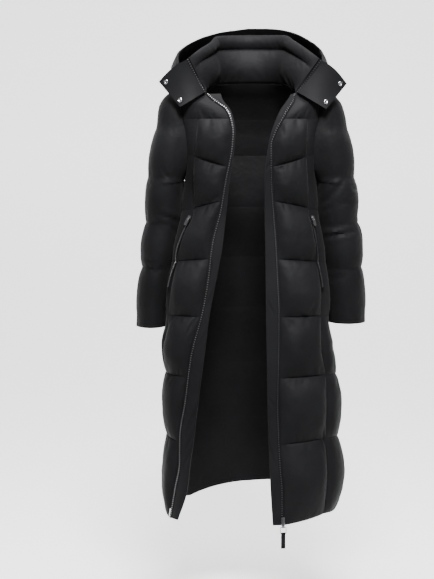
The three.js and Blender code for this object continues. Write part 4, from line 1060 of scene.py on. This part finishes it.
def collar_zip(side):
    key = side_key(side)
    v = np.linspace(COLLAR_ZIP["start"], 1, 30)
    t = 0.0 if side < 0 else 1.0
    edge = collar_point(t, v)
    away = unit(edge - collar_point(t - side * 0.04, v))
    u = even_row(4)[..., None]
    grid = edge[:, None] + away[:, None] * (COLLAR_ZIP["gap"] + ZIP_WIDTH * u)
    normals = grid_normals(grid, side)
    outer, inner = grid + normals * COLLAR_ZIP["out"], grid - normals * COLLAR_ZIP["in"]
    wall("collar_zip_" + key, outer, inner, [TAPE])
    teeth(f"collar_teeth_{key}_in", inner[:, 2], -normals[:, 2], key)
    teeth(f"collar_teeth_{key}_out", outer[:, 2], normals[:, 2], key)


# Hood, thrown back: a smooth curve through four stations
def curve_points(stations, v):
    out = []
    for value in v:
        p = 3 * value
        i = min(int(p), 2)
        w = p - i
        p1, p2 = stations[i], stations[i + 1]
        p0 = stations[i - 1] if i > 0 else 2 * stations[0] - stations[1]
        p3 = stations[i + 2] if i < 2 else 2 * stations[3] - stations[2]
        d0, d1, d2 = (max(np.linalg.norm(q - r) ** 0.5, 1e-4) for q, r in ((p0, p1), (p1, p2), (p2, p3)))
        t1 = ((p1 - p0) / d0 - (p2 - p0) / (d0 + d1) + (p2 - p1) / d1) * d1
        t2 = ((p2 - p1) / d1 - (p3 - p1) / (d1 + d2) + (p3 - p2) / d2) * d1
        out.append(p1 + t1 * w + (3 * (p2 - p1) - 2 * t1 - t2) * w**2 + (2 * (p1 - p2) + t1 + t2) * w**3)
    return np.array(out)


def hood_line(turn, v):
    side = -1 if turn <= 180 else 1
    at = min(turn, 360 - turn)
    corner = NECK_CORNERS[0 if side < 0 else 1]
    share = (0.25 * (at - corner) / (SHOULDER_ANGLE - corner) if at < SHOULDER_ANGLE
             else 0.25 + 0.25 * (at - SHOULDER_ANGLE) / (180 - SHOULDER_ANGLE))
    t = share if side < 0 else 1 - share
    around = collar_point(t + 0.01, HOOD_LIFT) - collar_point(t - 0.01, HOOD_LIFT)
    up = collar_point(t, HOOD_LIFT + 0.05) - collar_point(t, HOOD_LIFT - 0.05)
    start = collar_point(t, HOOD_LIFT) + unit(np.cross(up, around)) * HOOD_CLEAR
    value = {c: float(along(HOOD_SECTIONS, "at", c, at)) for c in HOOD_SECTIONS if c != "at"}
    heading = math.radians(value["turn"])
    out = np.array([side * math.sin(heading), -math.cos(heading), 0])
    up_axis = np.array([0, 0, 1.0])
    off = (at - HOOD_LEFT_LIFT["middle"]) / HOOD_LEFT_LIFT["half"]
    value["rim_z"] += HOOD_LEFT_LIFT["height"] * max(0, 1 - off * off) if side > 0 else 0
    stations = [start] + [out * value[k + "_r"] + up_axis * value[k + "_z"] for k in ("floor", "out", "rim")]
    return curve_points(np.array(stations), v)


# The hood's pieces: columns, seed of their gathers, and where the filling starts and is full
HOOD_V = np.linspace(0, 1, 44)
HOOD_FILL = {"clear": 0.3, "over": 0.2, "from": 0.25}
HOOD_EDGE_GATHERS = (14, 2.2, 30)
HOOD_RIM_GATHERS = (12, 2.6, 34)
HOOD_LINING_GATHERS = (12, 1.8, 40)


def hood_piece(name, start, end, columns, seed):
    turns = np.linspace(start, end, columns)
    base = np.stack([hood_line(turn, HOOD_V) for turn in turns], 1)
    normals = grid_normals(base, -1)
    check = np.cross(np.gradient(base, axis=0), np.gradient(base, axis=1))
    normals = normals * np.sign(np.sum(check * normals, axis=-1, keepdims=True))
    base = draw_in(base)
    u = even_row(columns)
    clear = np.clip((HOOD_V - HOOD_FILL["clear"]) / HOOD_FILL["over"], 0, 1)
    lift = clear * baffle(np.clip((HOOD_V - HOOD_FILL["from"]) / (1 - HOOD_FILL["from"]), 0, 1))
    rise = HOOD_PUFF * lift[:, None] * across(u, 0)
    share = np.clip(rise / 4, 0, 1)
    dent = edge_gathers(base, seed, *HOOD_EDGE_GATHERS)
    dent = dent + seam_gathers(base, [len(HOOD_V) - 1], seed, *HOOD_RIM_GATHERS)
    plump = rise * (1 + 0.15 * crumple(base, 60, seed))
    height = plump + dent * share + 1.2 * ridges(base, 48, seed + 2) * share
    pull = top_gathers(base, seed + 5, *HOOD_LINING_GATHERS)
    slack = 1.6 * crumple(base, 55, seed + 8) + 1.4 * (ridges(base, 30, seed + 12) - 0.4)
    slack *= np.clip(HOOD_V * 4, 0, 1)[:, None] * across(u, 0)
    inner = base + normals * (slack + 0.4 * pull * across(u, 0))[..., None]
    outer = base + normals * (CLOTH + np.maximum(height, 0) + np.maximum(slack, 0))[..., None]
    wall(name, outer, inner, [SHELL, LINING])
    stitches(name + "_stitch", outer[-2], normals[-2])


# Flaps at the neck
def flap_grid(side, rows=26, columns=36):
    end = 0.0 if side < 0 else 1.0
    v = np.linspace(FLAP["start"], 1, rows)
    inner = collar_point(end, v)
    away = unit(inner - collar_point(end - side / 24, v))
    inner = inner + away * (ZIP_WIDTH + FLAP["clear"])
    shift = np.zeros(3) if side < 0 else np.array(FLAP["left_shift"], float)
    corners = [np.array([-side * FLAP[k][0], FLAP[k][1], FLAP[k][2]]) + shift for k in ("lower", "outer")]
    outer = lerp(corners[0], corners[1], np.linspace(0, 1, rows)[:, None])
    u = even_row(columns)[..., None]
    grid = lerp(inner[:, None], outer[:, None], u)
    bow = np.sin(np.pi * u[..., 0])
    grid[..., 1] -= FLAP["swell"] * bow
    grid[..., 2] += FLAP["rise"] * bow * np.linspace(0, 1, rows)[:, None]
    return grid


def flap(side):
    key = side_key(side)
    grid = flap_grid(side)
    normals = grid_normals(grid, side)
    outer = grid + normals * CLOTH
    obj = wall("neck_flap_" + key, outer, grid, [FLAT])
    stitches("flap_stitch_" + key, outer[:, -2], normals[:, -2])


# Snaps: a ring round a sunken centre, turned from its profile of radius and height
SNAP_PROFILE = [(0, 0.9), (1.6, 0.9), (2.2, 1.3), (2.5, 1.9), (3.1, 2.3), (4.2, 2.45), (5.1, 2.2), (5.8, 1.5),
                (6.0, 0.85), (5.4, 0.1), (0, 0)]
SNAP = {"dark": 2.4, "turns": 32}


def snap(name):
    points = np.array([v.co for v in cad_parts[name].data.vertices]) / MM
    centre = points.mean(0)
    _, _, axes = np.linalg.svd(points - centre)
    normal = axes[2] * (-1 if axes[2][1] > 0 else 1)
    foot = centre + normal * ((points - centre) @ normal).min()
    x_axis = unit(np.cross(normal, [0, 0, 1.0]))
    y_axis = np.cross(normal, x_axis)
    count = SNAP["turns"]
    turns = np.linspace(0, 2 * np.pi, count + 1)[:-1]
    rings = [foot + normal * h + (np.cos(turns)[:, None] * x_axis + np.sin(turns)[:, None] * y_axis) * r
             for r, h in SNAP_PROFILE[1:-1]]
    verts = np.concatenate(rings + [[foot + normal * SNAP_PROFILE[0][1]], [foot]])
    steps = [(m, (m + 1) % count) for m in range(count)]
    last = (len(rings) - 1) * count
    faces = [(k + m, k + n, k + count + n, k + count + m) for k in range(0, last, count) for m, n in steps]
    for m, n in steps:
        faces.append((len(verts) - 2, m, n))
        faces.append((len(verts) - 1, last + n, last + m))
    mesh = bpy.data.meshes.new(name)
    mesh.from_pydata((verts * MM).tolist(), [], faces)
    mesh.materials.append(METAL)
    mesh.materials.append(DARK_METAL_AND_PAINTED_SHADE)
    obj = add_piece(name, mesh)
    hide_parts(name)
    for polygon in mesh.polygons:
        gap = np.array(polygon.center) / MM - foot
        radius = np.linalg.norm(gap - normal * (gap @ normal))
        polygon.material_index = 1 if radius < SNAP["dark"] else 0


# Pocket zips over the princess seams
def pocket_zip(side):
    key = side_key(side)
    w = np.linspace(0, 1, 60)
    z = lerp(POCKET["top"], POCKET["bottom"], w)
    angle = side * princess_angle(side, z)
    normal = body_normal(angle, z)
    tangent = unit(body_point(angle + side, z) - body_point(angle - side, z))
    seam = np.array([np.nonzero(SEAMS["princess"] >= value)[0][-1] for value in z])
    share = (z - SEAMS["princess"][seam]) / (SEAMS["princess"][seam + 1] - SEAMS["princess"][seam])
    lift = POCKET["lift"] + POCKET[key] * FRONT_PUFF * baffle(share)
    u = np.linspace(-0.5, 0.5, 5)[None, :, None]
    grid = (body_point(angle, z) + normal * lift[:, None])[:, None] + tangent[:, None] * POCKET["width"] * u
    normals = np.repeat(normal[:, None], 5, 1)
    wall("pocket_zip_" + key, grid + normals * POCKET["thickness"], grid, [TAPE])
    top = grid[4:, 2] + normal[4:] * POCKET["thickness"]
    # The coil is painted lighter on the wearer's right and darker on the left, for light and shade
    blocks("pocket_coil_" + key, top, normal[4:], COIL, TEETH_BY_PAINTED_LIGHT[key])


# Materials
def shader_of(name, **values):
    material = bpy.data.materials.new(name)
    material.use_nodes = True
    shader = material.node_tree.nodes["Principled BSDF"]
    for key, value in values.items():
        shader.inputs[key.replace("_", " ")].default_value = value
    return material, shader


def link_color(material, shader, low, high, scale, detail=4):
    tree = material.node_tree
    place = tree.nodes.new("ShaderNodeTexCoord")
    grain = tree.nodes.new("ShaderNodeTexNoise")
    grain.inputs["Scale"].default_value = scale
    grain.inputs["Detail"].default_value = detail
    ramp = tree.nodes.new("ShaderNodeValToRGB")
    ramp.color_ramp.elements[0].position = 0.3
    ramp.color_ramp.elements[1].position = 0.7
    ramp.color_ramp.elements[0].color = (*low, 1)
    ramp.color_ramp.elements[1].color = (*high, 1)
    tree.links.new(place.outputs["Object"], grain.inputs["Vector"])
    tree.links.new(grain.outputs["Fac"], ramp.inputs["Fac"])
    tree.links.new(ramp.outputs["Color"], shader.inputs["Base Color"])
    return place


def bump_chain(material, shader, place, layers):
    tree = material.node_tree
    previous = None
    for kind, scale, strength, distance in layers:
        if kind == "noise":
            grain = tree.nodes.new("ShaderNodeTexNoise")
            grain.inputs["Detail"].default_value = 5
            output = "Fac"
        else:
            grain = tree.nodes.new("ShaderNodeTexVoronoi")
            output = "Distance"
        grain.inputs["Scale"].default_value = scale
        bump = tree.nodes.new("ShaderNodeBump")
        bump.inputs["Strength"].default_value = strength
        bump.inputs["Distance"].default_value = distance
        tree.links.new(place.outputs["Object"], grain.inputs["Vector"])
        tree.links.new(grain.outputs[output], bump.inputs["Height"])
        if previous:
            tree.links.new(previous.outputs["Normal"], bump.inputs["Normal"])
        previous = bump
    tree.links.new(previous.outputs["Normal"], shader.inputs["Normal"])


def cloth(name, low, high, roughness, sheen, layers):
    material, shader = shader_of(name, Roughness=roughness, Sheen_Weight=sheen, Sheen_Roughness=0.45)
    shader.inputs["Specular IOR Level"].default_value = 0.06
    place = link_color(material, shader, low, high, 9)
    bump_chain(material, shader, place, layers)
    return material


def metal(name, low, high, roughness):
    material, shader = shader_of(name, Metallic=1.0, Roughness=roughness)
    place = link_color(material, shader, low, high, 400)
    bump_chain(material, shader, place, [("noise", 900, 0.08, 0.0004)])
    return material


NYLON_BUMP = [("noise", 1500, 0.12, 0.0003), ("noise", 95, 0.32, 0.0022), ("voronoi", 60, 0.16, 0.0022)]
SHELL = cloth("nylon_shell", (0.0056, 0.0056, 0.0062), (0.0086, 0.0086, 0.0095), 0.6, 0.02, NYLON_BUMP)
LINING = cloth("nylon_lining", (0.0040, 0.0040, 0.0044), (0.0062, 0.0062, 0.0069), 0.5, 0.02, NYLON_BUMP)
FLAT = cloth("nylon_flat", (0.0064, 0.0064, 0.0072), (0.0088, 0.0088, 0.0098), 0.56, 0.02,
             [("noise", 1500, 0.1, 0.0003), ("noise", 60, 0.15, 0.002)])
TAPE = cloth("zip_tape", (0.0042, 0.0042, 0.0047), (0.0070, 0.0070, 0.0077), 0.8, 0.02,
             [("voronoi", 1100, 0.5, 0.0004)])
WEBBING = cloth("ribbon", (0.0060, 0.0062, 0.0070), (0.0095, 0.0097, 0.0108), 0.75, 0.03,
                [("voronoi", 900, 0.5, 0.0004)])
THREAD = cloth("thread", (0.0040, 0.0040, 0.0045), (0.0070, 0.0070, 0.0078), 0.6, 0.03,
               [("noise", 2500, 0.3, 0.0003)])
METAL = metal("polished_metal", (0.62, 0.62, 0.63), (0.72, 0.72, 0.735), 0.22)
# Dark metal for the slider, pull link and snap centres; on the wearer's left zip teeth it is painted shade,
# and the lighter teeth metal below is a painted highlight on the wearer's right teeth of the same metal
DARK_METAL_AND_PAINTED_SHADE = metal("dark_metal_and_painted_shade", (0.09, 0.09, 0.095), (0.14, 0.14, 0.15), 0.34)
LIT_TEETH_METAL = metal("teeth_painted_lighter", (0.22, 0.22, 0.225), (0.34, 0.34, 0.35), 0.38)
TEETH_BY_PAINTED_LIGHT = {"right": LIT_TEETH_METAL, "left": DARK_METAL_AND_PAINTED_SHADE}

# Creases: start and end in x and z, width and depth, in millimetres
FRONT_CREASES = {"right": [
    (-162, -156, -135, -147, 2.8, 3.4), (-155, -206, -137, -226, 2.6, 2.4), (-166, -788, -184, -853, 3.4, 2.8),
    (-153, -724, -174, -775, 2.8, 2.4), (-138, -573, -158, -624, 3, 2.6), (-169, -892, -180, -970, 3.2, 2.4),
], "left": [
    (146, -156, 159, -147, 2.6, 2.8), (181, -756, 194, -751, 2.4, 3), (62, -206, 87, -196, 2.6, 2.4),
    (69, -82, 81, -119, 3, 2.8), (182, -865, 195, -930, 3, 2.6), (124, -572, 155, -583, 2.6, 2),
]}
SLEEVE_CREASES = {"right": [
    (-225, -205, -207, -227, 3.6, 3.4), (-246, -312, -177, -342, 5.1, 4.8), (-236, -324, -205, -332, 3.6, 2.8),
    (-270, -432, -236, -453, 4.2, 3.4), (-267, -450, -239, -471, 3.6, 3.4), (-244, -468, -224, -458, 3.3, 2.6),
    (-257, -81, -240, -101, 3.9, 2.4), (-205, -347, -185, -381, 3.9, 2.4),
], "left": [
    (183, -299, 239, -233, 5.7, 4.8), (224, -296, 277, -276, 4.8, 3.8), (184, -355, 245, -350, 4.8, 4.8),
    (189, -381, 283, -360, 4.8, 5.4), (193, -489, 246, -484, 4.2, 4.4), (183, -314, 211, -301, 4.2, 3),
    (254, -248, 275, -266, 4.2, 2.8), (186, -96, 212, -106, 4.2, 2.8),
]}
GUARD_CREASES = {"right": [
    (-126, -775, -154, -853, 4, 2.4), (-133, -801, -164, -887, 4, 2.6), (-138, -853, -167, -931, 4, 2.4),
    (-146, -905, -172, -970, 3.6, 2.2), (-110, -609, -136, -660, 3.4, 1.8), (-93, -507, -113, -558, 3.4, 1.6),
    (-63, -82, -80, -33, 3, 2), (-98, -436, -108, -482, 3, 1.5),
], "left": [
    (44, -782, 60, -803, 3, 1.6), (37, -206, 57, -181, 3, 1.6), (45, -891, 66, -969, 3.4, 1.8),
    (81, -4, 113, -21, 3, 2), (41, -532, 59, -572, 3, 1.4),
]}
BACK_CREASES = [
    (-60, -190, 25, -212, 3.4, 3.2), (40, -236, 118, -220, 3.2, 3), (-122, -250, -70, -286, 3, 3),
    (-40, -350, 36, -336, 3, 2.6), (70, -398, 128, -372, 3.2, 3.2), (-136, -392, -88, -420, 3.2, 3),
    (-90, -520, -34, -548, 3, 2.4), (60, -560, 112, -524, 3, 2.6), (-150, -640, -112, -690, 3.2, 2.6),
    (96, -690, 142, -650, 3, 2.4), (-48, -800, 10, -822, 3.2, 2.4), (84, -850, 128, -806, 3, 2.6),
    (-140, -930, -100, -982, 3.2, 2.6), (30, -980, 84, -954, 3, 2.2),
]

HARDWARE = {"zip_slider": DARK_METAL_AND_PAINTED_SHADE, "pull_link": DARK_METAL_AND_PAINTED_SHADE, "pull_ring": METAL, "pull_ribbon": WEBBING,
            "zip_retainer": METAL, "zip_pin": METAL, "pocket_slider_right": METAL, "pocket_pull_right": METAL,
            "pocket_slider_left": METAL, "pocket_pull_left": METAL}


def dress_hardware():
    for name, material in HARDWARE.items():
        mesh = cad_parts[name].data
        mesh.materials.clear()
        mesh.materials.append(material)


def quilt_stitches(name, base, normals, rows):
    for k, row in enumerate(rows):
        stitches(f"{name}_stitch_{k}", base[row], normals[row])


camera()
studio()
floor()
dress_hardware()
for number, part in enumerate(BACK_PARTS):
    quilt_stitches("back_" + part, *back_panel(part, SEEDS["back"] + number), SEAM_ROWS)
back_yoke()
collar()
split = lerp(SHOULDER_ANGLE, 180, HOOD_SPLIT)
hood_piece("hood_back", split, 360 - split, 90, 70)
hood_piece("hood_right", HOOD_START, split, 44, 75)
hood_piece("hood_left", 360 - split, 360 - HOOD_START, 44, 80)
for word, side in SIDES.items():
    quilt_stitches("front_" + word, *front_panel(side), SEAM_ROWS)
    quilt_stitches("side_" + word, *side_panel(side), SEAM_ROWS)
    front_yoke(side)
    grid, normals, seam_rows = sleeve(side)
    quilt_stitches("sleeve_" + word, grid, normals, seam_rows)
    zip_tape(side)
    wind_guard(side)
    flap(side)
    pocket_zip(side)
    for end in ("lower", "upper"):
        snap(f"snap_{word}_{end}")
